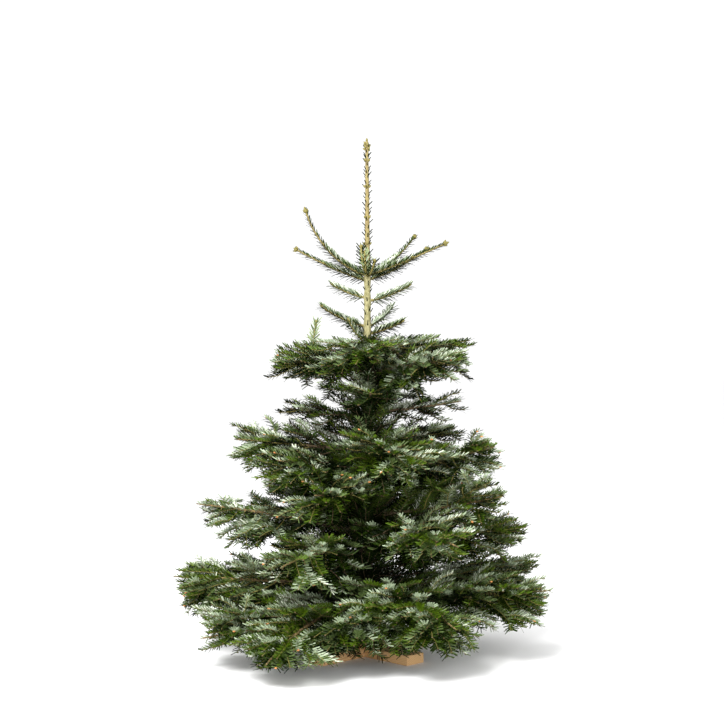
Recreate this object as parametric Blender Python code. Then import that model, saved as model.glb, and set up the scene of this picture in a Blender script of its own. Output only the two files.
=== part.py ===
"""A cut Christmas fir on a plain wooden cross stand, about one and a half metres tall.

The trunk runs up through the crown from the stand to the tip of its leading shoot. Boughs leave it in
tiers. The two lowest tiers have a bare limb that ends where its foliage begins; every other bough is in
foliage from the trunk on. Foliage is a stem with toothed sprays of needles fused to it, or, near the
top, a slim shoot that single needles stand out of.

Metres, +Z up, +X to the right and -Y to the front. The origin is on the floor under the trunk.
"""

import itertools
import math
import random
from typing import NamedTuple

import bmesh
import bpy
from mathutils import Matrix, Vector
from mathutils.bvhtree import BVHTree

GAP = 0.0003
JOINT_GAP = 0.0005
TREE_HEIGHT = 1.500

BOARD_LENGTH = 0.400
BOARD_WIDTH = 0.070
BOARD_HEIGHT = 0.028
BOARD_BEVEL = 0.002
BOARD_TURN = math.radians(45)
BRACE_LENGTH = 0.075
BRACE_HEIGHT = 0.060
BRACE_WIDTH = 0.024
BRACE_TOE = 0.012
BRACE_TOP = 0.030
BRACE_BACK = 0.004
BRACES = 4
NOTCH_OVERRUN = 0.007

TRUNK_SIDES = 12
TRUNK_RINGS = 14
RING_SPACING_POWER = 1.15
TRUNK_FOOT = BOARD_HEIGHT + GAP
TRUNK_FOOT_RADIUS = 0.0245
TRUNK_TIP_RADIUS = 0.0045
TRUNK_TAPER_POWER = 1.3
ROOT_FLARE = 0.0030
ROOT_FLARE_HEIGHT = 0.035
TRUNK_LEAN_RIGHT = 0.0070
TRUNK_LEAN_FRONT = 0.0030
TRUNK_BEND = 2.3
TRUNK_SPACE = 0.001
CUTTER_RUNOUT = 0.010
LEADER_BUD_RADIUS = 0.0075
LEADER_BUD_HEIGHT = 0.022
LEADER_BUD_WIDEST = 0.6

LIMB_SIDES = 6
LIMB_STATIONS = 4
BOUGH_SEED = 101
BOUGH_LEAST_RADIUS = 0.0035
BOUGH_RADIUS_GAIN = 0.0105
BOUGH_TIP_RADIUS = 0.0020
AXIS_STEPS = 16
HEIGHT_JITTER = 0.0015
RISE_JITTER = 3.0
SWEEP_JITTER = 7.0

STEM_SIDES = 3
STEM_STATIONS = 4
STEM_RADIUS_SHARE = 1.15
STEM_OVERRUN = 0.04
LATERAL_STATIONS = 3
LATERAL_SINK = 0.002
LATERAL_ANGLE = 47.0
LATERAL_ANGLE_JITTER = 5.0
LATERAL_SHARE = 0.58
LATERAL_LEAST = 0.055
LATERAL_LENGTH_JITTER = 0.1
SHADE_AT_TRUNK = 0.30
SHADE_GAIN = 1.1
LATERAL_PITCHES = (22.0, -20.0, -6.0, 28.0)
RISER_PITCHES = (44.0, -40.0)
RISER_SHARE = 0.72
RISER_TURN = 9.0
LATERAL_STAGGER = 0.008
TERMINAL_YEARS = 1.25
TERMINAL_STATIONS = 5
LATERAL_DROOP = 4.0
LATERAL_BEND = 0.10
SPRAY_WIDTH_SHARE = 0.34
SPRAY_LEAST_WIDTH = 0.033
SPRAY_MOST_WIDTH = 0.062
SPRAY_TAPER = 0.5
SPRAY_TAPER_POWER = 1.5
SPRAY_NOTCH = 0.30
SPRAY_LIFTS = (0.85, 0.10, 1.05, -0.50)
SPRAY_SPINE = 0.0030
SPRAY_SPINE_TAPER = 0.5
SPRAY_ROOT = 0.0016
TOOTH_PITCH = 0.060
TOOTH_REACH = 0.80
LEAST_TEETH = 3
SHORTER_TRIES = (1.0, 0.78, 0.58)
CLEARANCE_SCALE = 1.05
LEAST_HEIGHT = 0.008
NEAR_TRUNK = 0.030
MOST_SECTOR = 40.0
SECTOR_OVERLAP = 8.0

NEEDLE_LENGTH = 0.030
NEEDLE_RADIUS = 0.0026
NEEDLE_PITCH = 0.021
NEEDLE_LEAN = 52.0
NEEDLE_SIDES = 3
NEEDLES_FROM = 0.16
NEEDLES_TO = 0.96
NEEDLE_ROOT_SHARE = 1.1
NEEDLE_SHORTENING = 0.35
GOLDEN_TURN = 137.5
SHOOT_SIDES = 3
SHOOT_STATIONS = 4
SHOOT_END = 0.97
SHOOT_ROOT_RADIUS = 0.0042
SHOOT_TIP_RADIUS = 0.0028
BUD_RADIUS = 0.0058
BUD_LENGTH = 0.012
BUD_WIDEST = 0.45

BARK_COLOUR = (0.16, 0.12, 0.08)
NEEDLE_COLOUR = (0.05, 0.10, 0.035)
TIMBER_COLOUR = (0.55, 0.38, 0.22)


class Place(NamedTuple):
    """Where one bough of a tier stands.

    azimuth: where it points, in degrees from +X towards +Y.
    length: how long it is, from the trunk's middle to its tip.
    above: how much higher than its tier it leaves the trunk.
    lift: degrees added to its tier's own rise at its tip.
    """

    azimuth: float
    length: float
    above: float
    lift: float


class Tier(NamedTuple):
    """The boughs that leave the trunk near one height.

    rise: the angle above level at the trunk and at the tip, in degrees.
    years: how many years the boughs have grown; each year but the last ends in a pair of side twigs.
    limb_share: the bare share of the length that is a limb of its own, 0 for foliage from the trunk on.
    """

    name: str
    height: float
    rise: tuple
    years: int
    limb_share: float
    boughs: tuple

    def sector(self, index):
        """How far to the right and left of a bough its foliage keeps, in degrees: a little past halfway
        to the next bough."""
        own = self.boughs[index].azimuth
        turns = [(place.azimuth - own) % 360 for k, place in enumerate(self.boughs) if k != index]
        left, right = min(turns, default=360), 360 - max(turns, default=0)
        return tuple(min(MOST_SECTOR, gap / 2 + SECTOR_OVERLAP) for gap in (right, left))


TIERS = (
    Tier("crown", 1.092, (18, 42), 1, 0.0, (
        Place(193, 0.272, 0.0065, 33), Place(168, 0.237, -0.0065, -13), Place(46, 0.245, 0.0065, 4),
        Place(17, 0.208, -0.0065, -8), Place(344, 0.250, 0.0065, -18))),
    Tier("high_spur", 1.030, (12, 28), 1, 0.0, (Place(172, 0.115, 0.004, 0), Place(8, 0.138, -0.004, 2))),
    Tier("low_spur", 0.940, (12, 30), 1, 0.0, (
        Place(188, 0.150, 0.012, 4), Place(128, 0.115, -0.012, 6), Place(50, 0.130, 0.012, 14),
        Place(342, 0.115, -0.012, -2))),
    Tier("top", 0.846, (10, 6), 3, 0.0, (
        Place(176, 0.285, -0.027, 0), Place(262, 0.290, 0.018, -8), Place(322, 0.300, -0.032, 2),
        Place(22, 0.315, 0.020, -4), Place(98, 0.290, -0.020, 0))),
    Tier("upper_between", 0.715, (4, 14), 2, 0.0, (
        Place(168, 0.265, -0.025, -5), Place(272, 0.250, 0.025, -4), Place(4, 0.295, -0.015, -2),
        Place(67, 0.265, 0.025, 4))),
    Tier("middle", 0.556, (7, 4), 3, 0.0, (
        Place(180, 0.405, 0.030, 0), Place(230, 0.400, -0.030, 6), Place(284, 0.390, 0.030, -4),
        Place(348, 0.400, -0.026, 12), Place(52, 0.390, 0.030, 2), Place(116, 0.380, -0.030, 2))),
    Tier("lower_between", 0.430, (6, 8), 3, 0.0, (
        Place(248, 0.390, 0.030, -4), Place(336, 0.445, -0.030, 8), Place(40, 0.400, 0.030, 4),
        Place(136, 0.400, -0.030, 2))),
    Tier("broad", 0.320, (14, 4), 4, 0.17, (
        Place(180, 0.520, 0.030, 0), Place(240, 0.470, -0.030, -14), Place(302, 0.480, 0.030, -16),
        Place(4, 0.500, -0.030, 2), Place(92, 0.500, 0.030, 0))),
    Tier("ground", 0.170, (5, -3), 4, 0.17, (
        Place(178, 0.580, 0.020, 4), Place(241, 0.560, -0.020, -20), Place(300, 0.500, 0.020, -12),
        Place(350, 0.555, -0.012, 6), Place(24, 0.580, 0.020, 6), Place(98, 0.545, -0.016, -5))),
    Tier("lowest", 0.122, (-2, -8), 3, 0.0, (Place(208, 0.530, 0.0, 2),)),
)


def trunk_radius(height):
    """The trunk's radius at a height above the floor."""
    up = max(0.0, min(1.0, (height - TRUNK_FOOT) / (TREE_HEIGHT - TRUNK_FOOT)))
    taper = (TRUNK_FOOT_RADIUS - TRUNK_TIP_RADIUS) * (1 - up) ** TRUNK_TAPER_POWER
    flare = ROOT_FLARE * math.exp(-(height - TRUNK_FOOT) / ROOT_FLARE_HEIGHT)
    return TRUNK_TIP_RADIUS + taper + flare


def trunk_centre(height):
    """The trunk's middle at a height: it leans a little, and stands over the origin at its foot."""
    bend = math.sin(TRUNK_BEND * (height - TRUNK_FOOT) / (TREE_HEIGHT - TRUNK_FOOT))
    return Vector((TRUNK_LEAN_RIGHT * bend, -TRUNK_LEAN_FRONT * bend, height))


def heading(azimuth, rise):
    """The unit vector at an azimuth and an angle above level, both in degrees."""
    a, e = math.radians(azimuth), math.radians(rise)
    return Vector((math.cos(a) * math.cos(e), math.sin(a) * math.cos(e), math.sin(e)))


def material(name, colour, roughness):
    """A Principled material of one colour."""
    made = bpy.data.materials.new(name)
    made.use_nodes = True
    shader = made.node_tree.nodes["Principled BSDF"]
    shader.inputs["Base Color"].default_value = (*colour, 1.0)
    shader.inputs["Roughness"].default_value = roughness
    return made


def node(name, mesh, finish):
    """An object in the scene that becomes a node of its own."""
    made = bpy.data.objects.new(name, mesh)
    mesh.materials.clear()
    mesh.materials.append(finish)
    bpy.context.scene.collection.objects.link(made)
    return made


def helper(name, mesh):
    """A cutter: it shapes other objects and isn't a node."""
    made = bpy.data.objects.new(name, mesh)
    bpy.context.scene.collection.objects.link(made)
    made.hide_render = True
    made.display_type = "WIRE"
    return made


def cut(piece, cutter, solver="EXACT"):
    """Takes the cutter's space out of a piece."""
    modifier = piece.modifiers.new(cutter.name, "BOOLEAN")
    modifier.operation = "DIFFERENCE"
    modifier.solver = solver
    modifier.object = cutter


def mesh_from(bm, name):
    """A mesh with its faces turned outwards, from a bmesh that is then freed."""
    bmesh.ops.recalc_face_normals(bm, faces=bm.faces)
    mesh = bpy.data.meshes.new(name)
    bm.to_mesh(mesh)
    bm.free()
    return mesh


def frames_along(points):
    """(tangent, side, up) at each point of a path, with up kept as near +Z as the path allows."""
    frames = []
    for i in range(len(points)):
        tangent = (points[min(i + 1, len(points) - 1)] - points[max(i - 1, 0)]).normalized()
        level = Vector((0, 0, 1)) if abs(tangent.z) < 0.95 else Vector((0, 1, 0))
        side = tangent.cross(level).normalized()
        frames.append((tangent, side, side.cross(tangent).normalized()))
    return frames


def tube(bm, points, radii, sides, level=False):
    """Adds a closed tapering tube along a path. A radius of 0 closes an end in a point. Its rings are
    square to the path, or level."""
    rings = []
    frames = [(None, Vector((1, 0, 0)), Vector((0, 1, 0)))] * len(points) if level else frames_along(points)
    for point, radius, (_, side, up) in zip(points, radii, frames):
        if radius == 0:
            rings.append([bm.verts.new(point)])
            continue
        turns = [2 * math.pi * (k + 0.5) / sides for k in range(sides)]
        rings.append([bm.verts.new(point + radius * (math.cos(t) * side + math.sin(t) * up)) for t in turns])
    for lower, upper in zip(rings, rings[1:]):
        for k in range(sides):
            corners = [lower[k % len(lower)], lower[(k + 1) % len(lower)]]
            corners += [upper[(k + 1) % len(upper)], upper[k % len(upper)]]
            bm.faces.new(list(dict.fromkeys(corners)))
    for ring in (rings[0], rings[-1]):
        if len(ring) > 2:
            bm.faces.new(ring)


def tube_mesh(name, points, radii, sides, level=False):
    """The mesh of one closed tapering tube."""
    bm = bmesh.new()
    tube(bm, points, radii, sides, level)
    return mesh_from(bm, name)


def toothed_spray(name, points):
    """A spray of needles: a thin blade along a path, with forward-pointing teeth on both sides that
    lift above its spine. It is thick at the spine and sharp at its edges."""
    frames = frames_along(points)
    length = sum((b - a).length for a, b in zip(points, points[1:]))
    half_width = max(SPRAY_LEAST_WIDTH, min(SPRAY_MOST_WIDTH, SPRAY_WIDTH_SHARE * length))
    teeth = max(LEAST_TEETH, round(length / TOOTH_PITCH))

    def place(along, across, lift):
        """The point a share along the path, then so far to its side and above it."""
        at = max(0.0, min(0.9999, along)) * (len(points) - 1)
        i = int(at)
        centre = points[i].lerp(points[i + 1], at - i)
        tangent, side, up = frames[i]
        over = (along - min(along, 1.0)) * length
        return centre + tangent * over + side * across + up * lift

    bm = bmesh.new()
    tip = bm.verts.new(place(1.0, 0, 0))
    spine = [bm.verts.new(place(k / teeth, 0, SPRAY_SPINE * (1 - SPRAY_SPINE_TAPER * k / teeth)))
             for k in range(teeth)]
    edges = []
    for hand in (-1, 1):
        notches, points_out = [], []
        for k in range(teeth):
            width = half_width * (1 - SPRAY_TAPER * (k / (teeth - 1)) ** SPRAY_TAPER_POWER)
            notch = SPRAY_NOTCH * width if k else SPRAY_ROOT
            notches.append(bm.verts.new(place(k / teeth, hand * notch, -SPRAY_SPINE)))
            lift = SPRAY_LIFTS[(2 * k + (hand > 0)) % len(SPRAY_LIFTS)]
            points_out.append(bm.verts.new(place((k + TOOTH_REACH) / teeth, hand * width, lift * width)))
        edges.append((notches, points_out))
        for k in range(teeth):
            following = spine[k + 1] if k < teeth - 1 else tip
            bm.faces.new((spine[k], notches[k], points_out[k]))
            bm.faces.new((spine[k], points_out[k], following))
            if k < teeth - 1:
                bm.faces.new((following, points_out[k], notches[k + 1]))
                bm.faces.new((notches[k], points_out[k], notches[k + 1]))
            else:
                bm.faces.new((notches[k], points_out[k], tip))
    left, right = edges[0][0], edges[1][0]
    for k in range(teeth - 1):
        bm.faces.new((left[k], left[k + 1], right[k + 1], right[k]))
    bm.faces.new((left[-1], tip, right[-1]))
    bm.faces.new((spine[0], left[0], right[0]))
    return mesh_from(bm, name)


def scaled(mesh, share):
    """Points and faces of a mesh, grown about its middle, for testing what it comes near."""
    middle = sum((v.co for v in mesh.vertices), Vector()) / len(mesh.vertices)
    points = [middle + (v.co - middle) * share for v in mesh.vertices]
    return BVHTree.FromPolygons(points, [tuple(p.vertices) for p in mesh.polygons])


def path_between(points, start, end, stations):
    """Evenly spaced stations on part of a path, from one share of it to another."""
    found = []
    for k in range(stations):
        at = (start + (end - start) * k / (stations - 1)) * (len(points) - 1)
        i = min(int(at), len(points) - 2)
        found.append(points[i].lerp(points[i + 1], at - i))
    return found


def signed_volume(faces):
    """The volume that some triangles and polygons of a closed shell enclose, below 0 for a sealed hollow."""
    volume = 0.0
    for face in faces:
        first = face.verts[0].co
        for b, c in zip(face.verts[1:], face.verts[2:]):
            volume += first.dot(b.co.cross(c.co)) / 6
    return volume


def keep_main_shell(mesh):
    """Fills any hollow that a union sealed and drops any loose scrap: only the largest shell stays."""
    bm = bmesh.new()
    bm.from_mesh(mesh)
    shells, seen = [], set()
    for start in bm.faces:
        if start in seen:
            continue
        shell, queue = [], [start]
        seen.add(start)
        while queue:
            face = queue.pop()
            shell.append(face)
            for edge in face.edges:
                for other in edge.link_faces:
                    if other not in seen:
                        seen.add(other)
                        queue.append(other)
        shells.append(shell)
    shells.sort(key=signed_volume)
    for shell in shells[:-1]:
        bmesh.ops.delete(bm, geom=shell, context="FACES")
    bm.to_mesh(mesh)
    bm.free()


class Bough:
    """One bough of a tier: its axis from the trunk to its tip, and the names of what is made of it."""

    def __init__(self, tier, index, seed):
        """Draws the bough's own height, lift and sweep, and lays out its axis."""
        self.tier = tier
        self.index = index
        self.dice = random.Random(seed)
        place = tier.boughs[index]
        self.length = place.length
        self.azimuth = place.azimuth
        self.foliage_name = f"foliage_{tier.name}_{index + 1}"
        self.limb_name = f"bough_{tier.name}_{index + 1}"
        height = tier.height + place.above + HEIGHT_JITTER * self.dice.uniform(-1, 1)
        lift = place.lift + RISE_JITTER * self.dice.uniform(-1, 1)
        sweep = SWEEP_JITTER * self.dice.uniform(-1, 1)
        at = trunk_centre(height)
        self.axis = [at.copy()]
        step = self.length / AXIS_STEPS
        for k in range(AXIS_STEPS):
            along = (k + 0.5) / AXIS_STEPS
            rise = tier.rise[0] + (tier.rise[1] - tier.rise[0]) * along + lift * along
            at = at + step * heading(self.azimuth + sweep * (along - 0.5), rise)
            self.axis.append(at.copy())

    def radius(self, share):
        """How thick the bough is, a share of the way to its tip."""
        root = BOUGH_LEAST_RADIUS + BOUGH_RADIUS_GAIN * self.length
        return BOUGH_TIP_RADIUS + (root - BOUGH_TIP_RADIUS) * (1 - share)

    def holds(self, point):
        """Whether a point is in this bough's own sector round the trunk."""
        if math.hypot(point.x, point.y) < NEAR_TRUNK:
            return True
        turn = math.degrees(math.atan2(point.y, point.x)) - self.azimuth
        right, left = self.tier.sector(self.index)
        return -right <= (turn + 180) % 360 - 180 <= left

    def laterals(self):
        """(share along the bough, turn, pitch, length) of each side twig. Each year but the last ends in
        a pair of them, and the older years also in one that rises or hangs."""
        found = []
        for year in range(1, self.tier.years):
            share = year / self.tier.years
            for hand in (-1, 1):
                angle = LATERAL_ANGLE + LATERAL_ANGLE_JITTER * self.dice.uniform(-1, 1)
                shade = min(1 - share, SHADE_AT_TRUNK + SHADE_GAIN * share)
                jitter = 1 + LATERAL_LENGTH_JITTER * self.dice.uniform(-1, 1)
                length = self.length * LATERAL_SHARE * shade * jitter
                pitch = LATERAL_PITCHES[len(found) % len(LATERAL_PITCHES)]
                along = share + hand * LATERAL_STAGGER / self.length
                found.append((along, hand * angle, pitch, max(length, LATERAL_LEAST)))
            if year < self.tier.years - 1:
                along = share + 3 * LATERAL_STAGGER / self.length
                pitch = RISER_PITCHES[(self.index + year + 1) % len(RISER_PITCHES)]
                found.append((along, RISER_TURN * self.dice.uniform(-1, 1), pitch, RISER_SHARE * length))
        return found


class Crown:
    """All boughs and their foliage, each kept clear of the others."""

    def __init__(self, trunk_clearance, finishes):
        """Takes the cutter that keeps foliage off the trunk, and plans every bough."""
        self.clearance = trunk_clearance
        self.finishes = finishes
        self.taken = {}
        seeds = itertools.count(BOUGH_SEED)
        self.boughs = [Bough(tier, k, next(seeds)) for tier in TIERS for k in range(len(tier.boughs))]

    def take(self, name, mesh):
        """Notes that a node holds this space."""
        self.taken.setdefault(name, []).append(scaled(mesh, 1.0))

    def is_free(self, name, mesh):
        """Whether a mesh stays clear of every other node."""
        tested = scaled(mesh, CLEARANCE_SCALE)
        return not any(
            tree.overlap(tested) for other, trees in self.taken.items() if other != name for tree in trees
        )

    def build(self):
        """Limbs and stems come first, as no spray may touch them."""
        stems = {bough.foliage_name: self.limb_and_stem(bough) for bough in self.boughs}
        for bough in reversed(self.boughs):
            shapes = [stems[bough.foliage_name]]
            shapes += self.needles(bough) if bough.tier.years == 1 else self.sprays(bough)
            self.fuse(bough, shapes)

    def limb_and_stem(self, bough):
        """Makes the bare limb, if the bough has one, and returns the mesh of the stem in its foliage."""
        share = bough.tier.limb_share
        if share:
            stations = path_between(bough.axis, 0, share, LIMB_STATIONS)
            radii = [bough.radius(share * k / (LIMB_STATIONS - 1)) for k in range(LIMB_STATIONS)]
            limb = tube_mesh(bough.limb_name, stations, radii, LIMB_SIDES)
            self.take(bough.limb_name, limb)
            cut(node(bough.limb_name, limb, self.finishes["bark"]), self.clearance)
        is_shoot = bough.tier.years == 1
        start = share + JOINT_GAP / bough.length if share else 0
        end = SHOOT_END if is_shoot else 1 - 1 / bough.tier.years + STEM_OVERRUN
        count = SHOOT_STATIONS if is_shoot else STEM_STATIONS
        stations = path_between(bough.axis, start, end, count)
        if is_shoot:
            slim = (SHOOT_TIP_RADIUS - SHOOT_ROOT_RADIUS) / (count - 1)
            radii = [SHOOT_ROOT_RADIUS + slim * k for k in range(count)]
        else:
            shares = [start + (end - start) * k / (count - 1) for k in range(count)]
            radii = [STEM_RADIUS_SHARE * bough.radius(s) for s in shares]
        sides = SHOOT_SIDES if is_shoot else STEM_SIDES
        stem = tube_mesh(bough.foliage_name + "_stem", stations, radii, sides)
        self.take(bough.foliage_name, stem)
        return stem

    def sprays(self, bough):
        """A spray at the stem's end, and one for each side twig that keeps to the bough's own space."""
        found = []
        start = 1 - TERMINAL_YEARS / bough.tier.years
        stations = path_between(bough.axis, start, 1, TERMINAL_STATIONS)
        self.keep(bough, found, toothed_spray("spray", stations), check=False)
        for share, turn, pitch, length in bough.laterals():
            for shorter in SHORTER_TRIES:
                path = self.lateral_path(bough, share, turn, pitch, length * shorter)
                if self.keep(bough, found, toothed_spray("spray", path)):
                    break
        return found

    def lateral_path(self, bough, share, turn, pitch, length):
        """A side twig's line: it leaves the axis at its angle and bends a little towards the tip."""
        at = path_between(bough.axis, share, share, 2)[0]
        i = min(int(share * AXIS_STEPS), AXIS_STEPS - 1)
        tangent, side, up = frames_along(bough.axis)[i]
        points = [at - LATERAL_SINK * tangent]
        step = length / LATERAL_STATIONS
        for k in range(LATERAL_STATIONS):
            away = math.radians(turn * (1 - LATERAL_BEND * k))
            climb = math.radians(pitch - LATERAL_DROOP * k)
            level = math.cos(away) * tangent + math.sin(away) * side
            points.append(points[-1] + step * (math.cos(climb) * level + math.sin(climb) * up))
        return points

    def keep(self, bough, found, mesh, check=True):
        """Adds a mesh to a mass if it stays in the bough's space and touches nothing."""
        fits = all(bough.holds(v.co) and v.co.z > LEAST_HEIGHT for v in mesh.vertices)
        if check and not (fits and self.is_free(bough.foliage_name, mesh)):
            bpy.data.meshes.remove(mesh)
            return False
        self.take(bough.foliage_name, mesh)
        found.append(mesh)
        return True

    def needles(self, bough):
        """Single needles in a spiral round a young shoot, and the bud at its end."""
        found = []
        span = NEEDLES_TO - NEEDLES_FROM
        count = int(bough.length * span / NEEDLE_PITCH)
        frames = frames_along(bough.axis)
        for k in range(count):
            share = NEEDLES_FROM + span * k / count
            at = path_between(bough.axis, share, share, 2)[0]
            tangent, side, up = frames[min(int(share * AXIS_STEPS), AXIS_STEPS - 1)]
            turn = math.radians(GOLDEN_TURN * k)
            out = math.cos(turn) * side + math.sin(turn) * up
            lean = math.radians(NEEDLE_LEAN)
            point = math.cos(lean) * tangent + math.sin(lean) * out
            length = NEEDLE_LENGTH * (NEEDLE_ROOT_SHARE - NEEDLE_SHORTENING * share)
            mesh = tube_mesh("needle", [at, at + length * point], [NEEDLE_RADIUS, 0], NEEDLE_SIDES)
            self.keep(bough, found, mesh)
        end, tangent = bough.axis[-1], frames[-1][0]
        bud_path = [end - BUD_LENGTH * tangent, end - BUD_WIDEST * BUD_LENGTH * tangent, end]
        self.keep(bough, found, tube_mesh("bud", bud_path, [SHOOT_TIP_RADIUS, BUD_RADIUS, 0], SHOOT_SIDES))
        return found

    def fuse(self, bough, meshes):
        """Joins a stem with its sprays or needles into one solid, by one union on a collection."""
        base = bpy.data.objects.new("base", meshes[0])
        bpy.context.scene.collection.objects.link(base)
        parts = bpy.data.collections.new("parts")
        bpy.context.scene.collection.children.link(parts)
        for mesh in meshes[1:]:
            parts.objects.link(bpy.data.objects.new("part", mesh))
        union = base.modifiers.new("union", "BOOLEAN")
        union.operation = "UNION"
        union.operand_type = "COLLECTION"
        union.solver = "MANIFOLD"
        union.collection = parts
        graph = bpy.context.evaluated_depsgraph_get()
        graph.update()
        fused = bpy.data.meshes.new_from_object(base.evaluated_get(graph))
        fused.name = bough.foliage_name
        keep_main_shell(fused)
        for part in (*parts.objects, base):
            bpy.data.objects.remove(part)
        bpy.data.collections.remove(parts)
        mass = node(bough.foliage_name, fused, self.finishes["foliage"])
        if not bough.tier.limb_share:
            cut(mass, self.clearance)


def trunk_mesh(name, extra):
    """The trunk from its flat cut to the bud on its leading shoot, its radius grown by extra."""
    rise = TREE_HEIGHT - LEADER_BUD_HEIGHT - TRUNK_FOOT
    levels = [TRUNK_FOOT + rise * (k / (TRUNK_RINGS - 1)) ** RING_SPACING_POWER for k in range(TRUNK_RINGS)]
    points = [trunk_centre(z) for z in levels]
    radii = [trunk_radius(z) + extra for z in levels]
    points += [trunk_centre(TREE_HEIGHT - LEADER_BUD_WIDEST * LEADER_BUD_HEIGHT), trunk_centre(TREE_HEIGHT)]
    radii += [LEADER_BUD_RADIUS + extra, 0]
    if extra:
        points.insert(0, points[0] - Vector((0, 0, CUTTER_RUNOUT)))
        radii.insert(0, radii[0])
    return tube_mesh(name, points, radii, TRUNK_SIDES, level=True)


def box_mesh(name, low, high):
    """A box between two corners."""
    bm = bmesh.new()
    bmesh.ops.create_cube(bm, size=1.0)
    low, high = Vector(low), Vector(high)
    bmesh.ops.scale(bm, vec=high - low, verts=bm.verts)
    bmesh.ops.translate(bm, vec=(low + high) / 2, verts=bm.verts)
    return mesh_from(bm, name)


def ease_edges(piece, width):
    """A small chamfer on a sawn piece's edges."""
    bevel = piece.modifiers.new("edges", "BEVEL")
    bevel.width = width
    bevel.segments = 1
    bevel.limit_method = "ANGLE"


def board(name, turn, notch_low, notch_high, finish):
    """One board of the cross, with a notch for the other: its two heights say where it is cut away."""
    half = Vector((BOARD_LENGTH / 2, BOARD_WIDTH / 2, 0))
    made = node(name, box_mesh(name, (-half.x, -half.y, 0), (half.x, half.y, BOARD_HEIGHT)), finish)
    ease_edges(made, BOARD_BEVEL)
    reach, across = half.y + GAP / 2, half.y + NOTCH_OVERRUN
    low, high = (-reach, -across, notch_low), (reach, across, notch_high)
    notch = helper(name + "_notch", box_mesh(name, low, high))
    cut(made, notch)
    for piece in (made, notch):
        piece.rotation_euler.z = turn
    return made


def brace(name, turn, clearance, finish):
    """A wedge screwed to a board and hollowed to bear against the trunk's foot."""
    back, top = BRACE_BACK, (BRACE_TOP, BRACE_HEIGHT)
    outline = [(back, 0), (BRACE_LENGTH, 0), (BRACE_LENGTH, BRACE_TOE), top, (back, BRACE_HEIGHT)]
    bm = bmesh.new()
    sides = [[bm.verts.new((x, y, z + BOARD_HEIGHT + GAP)) for x, z in outline]
             for y in (-BRACE_WIDTH / 2, BRACE_WIDTH / 2)]
    bm.faces.new(sides[0])
    bm.faces.new(sides[1])
    for k in range(len(outline)):
        j = (k + 1) % len(outline)
        bm.faces.new((sides[0][k], sides[0][j], sides[1][j], sides[1][k]))
    mesh = mesh_from(bm, name)
    mesh.transform(Matrix.Rotation(turn, 4, "Z"))
    made = node(name, mesh, finish)
    cut(made, clearance)
    return made


def build_stand(clearance, finish):
    """Two boards halved over each other, and a brace on each arm."""
    middle = BOARD_HEIGHT / 2
    over = BOARD_HEIGHT + NOTCH_OVERRUN
    board("stand_board_under", BOARD_TURN, middle, over, finish)
    board("stand_board_over", BOARD_TURN + math.pi / 2, -NOTCH_OVERRUN, middle + GAP, finish)
    for k in range(BRACES):
        brace(f"stand_brace_{k + 1}", BOARD_TURN + k * 2 * math.pi / BRACES, clearance, finish)


def main():
    """Clears the scene and builds the trunk, the stand and the crown."""
    for obj in list(bpy.data.objects):
        bpy.data.objects.remove(obj)
    finishes = {
        "bark": material("bark", BARK_COLOUR, 0.85),
        "foliage": material("foliage", NEEDLE_COLOUR, 0.6),
        "timber": material("timber", TIMBER_COLOUR, 0.7),
    }
    node("trunk", trunk_mesh("trunk", 0), finishes["bark"])
    clearance = helper("trunk_clearance", trunk_mesh("trunk_clearance", GAP))
    build_stand(clearance, finishes["timber"])
    crown = Crown(clearance, finishes)
    crown.take("trunk", trunk_mesh("trunk_space", TRUNK_SPACE))
    crown.build()


main()
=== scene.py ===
"""The looks of a cut Christmas fir on a plain wooden cross stand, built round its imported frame.

The trunk, the boughs and the stand are meshes with a relief of their own. Every bough grows on from the
frame's rule into side twigs, finer twigs and short upright shoots, and Geometry Nodes clothe those in
needles and set a cluster of buds at each tip. Metres, +Z up, -Y to the front.
"""

import logging
import math
import random
from collections.abc import Callable
from dataclasses import dataclass, field
from enum import Enum
from typing import NamedTuple

import bmesh
import bpy
import numpy as np
from bpy.types import Material, Mesh, Node, Object
from mathutils import Matrix, Vector, noise


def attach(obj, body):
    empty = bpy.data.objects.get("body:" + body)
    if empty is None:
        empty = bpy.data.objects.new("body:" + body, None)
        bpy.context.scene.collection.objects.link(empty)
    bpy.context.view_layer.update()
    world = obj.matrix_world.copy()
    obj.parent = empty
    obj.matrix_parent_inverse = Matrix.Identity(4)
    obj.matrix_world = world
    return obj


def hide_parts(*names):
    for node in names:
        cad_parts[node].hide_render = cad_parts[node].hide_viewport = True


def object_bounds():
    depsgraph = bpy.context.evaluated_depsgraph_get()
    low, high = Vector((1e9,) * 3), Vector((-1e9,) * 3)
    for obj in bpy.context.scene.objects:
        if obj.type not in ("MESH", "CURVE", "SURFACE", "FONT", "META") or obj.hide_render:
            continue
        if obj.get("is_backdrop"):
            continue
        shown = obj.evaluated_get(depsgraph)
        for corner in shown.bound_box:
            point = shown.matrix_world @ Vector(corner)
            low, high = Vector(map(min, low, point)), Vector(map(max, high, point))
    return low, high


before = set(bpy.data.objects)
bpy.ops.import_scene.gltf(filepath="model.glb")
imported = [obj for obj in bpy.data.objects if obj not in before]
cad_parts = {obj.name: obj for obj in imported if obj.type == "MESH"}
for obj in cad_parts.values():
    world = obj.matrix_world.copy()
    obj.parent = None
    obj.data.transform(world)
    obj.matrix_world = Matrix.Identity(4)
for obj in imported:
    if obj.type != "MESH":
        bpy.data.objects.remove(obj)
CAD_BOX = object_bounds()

log = logging.getLogger("christmas_tree")

Colour = tuple[float, float, float]
Point = tuple[float, float, float]
Pair = tuple[float, float]
Line = list[Vector]
Setting = object

BODY = "root"

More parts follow.
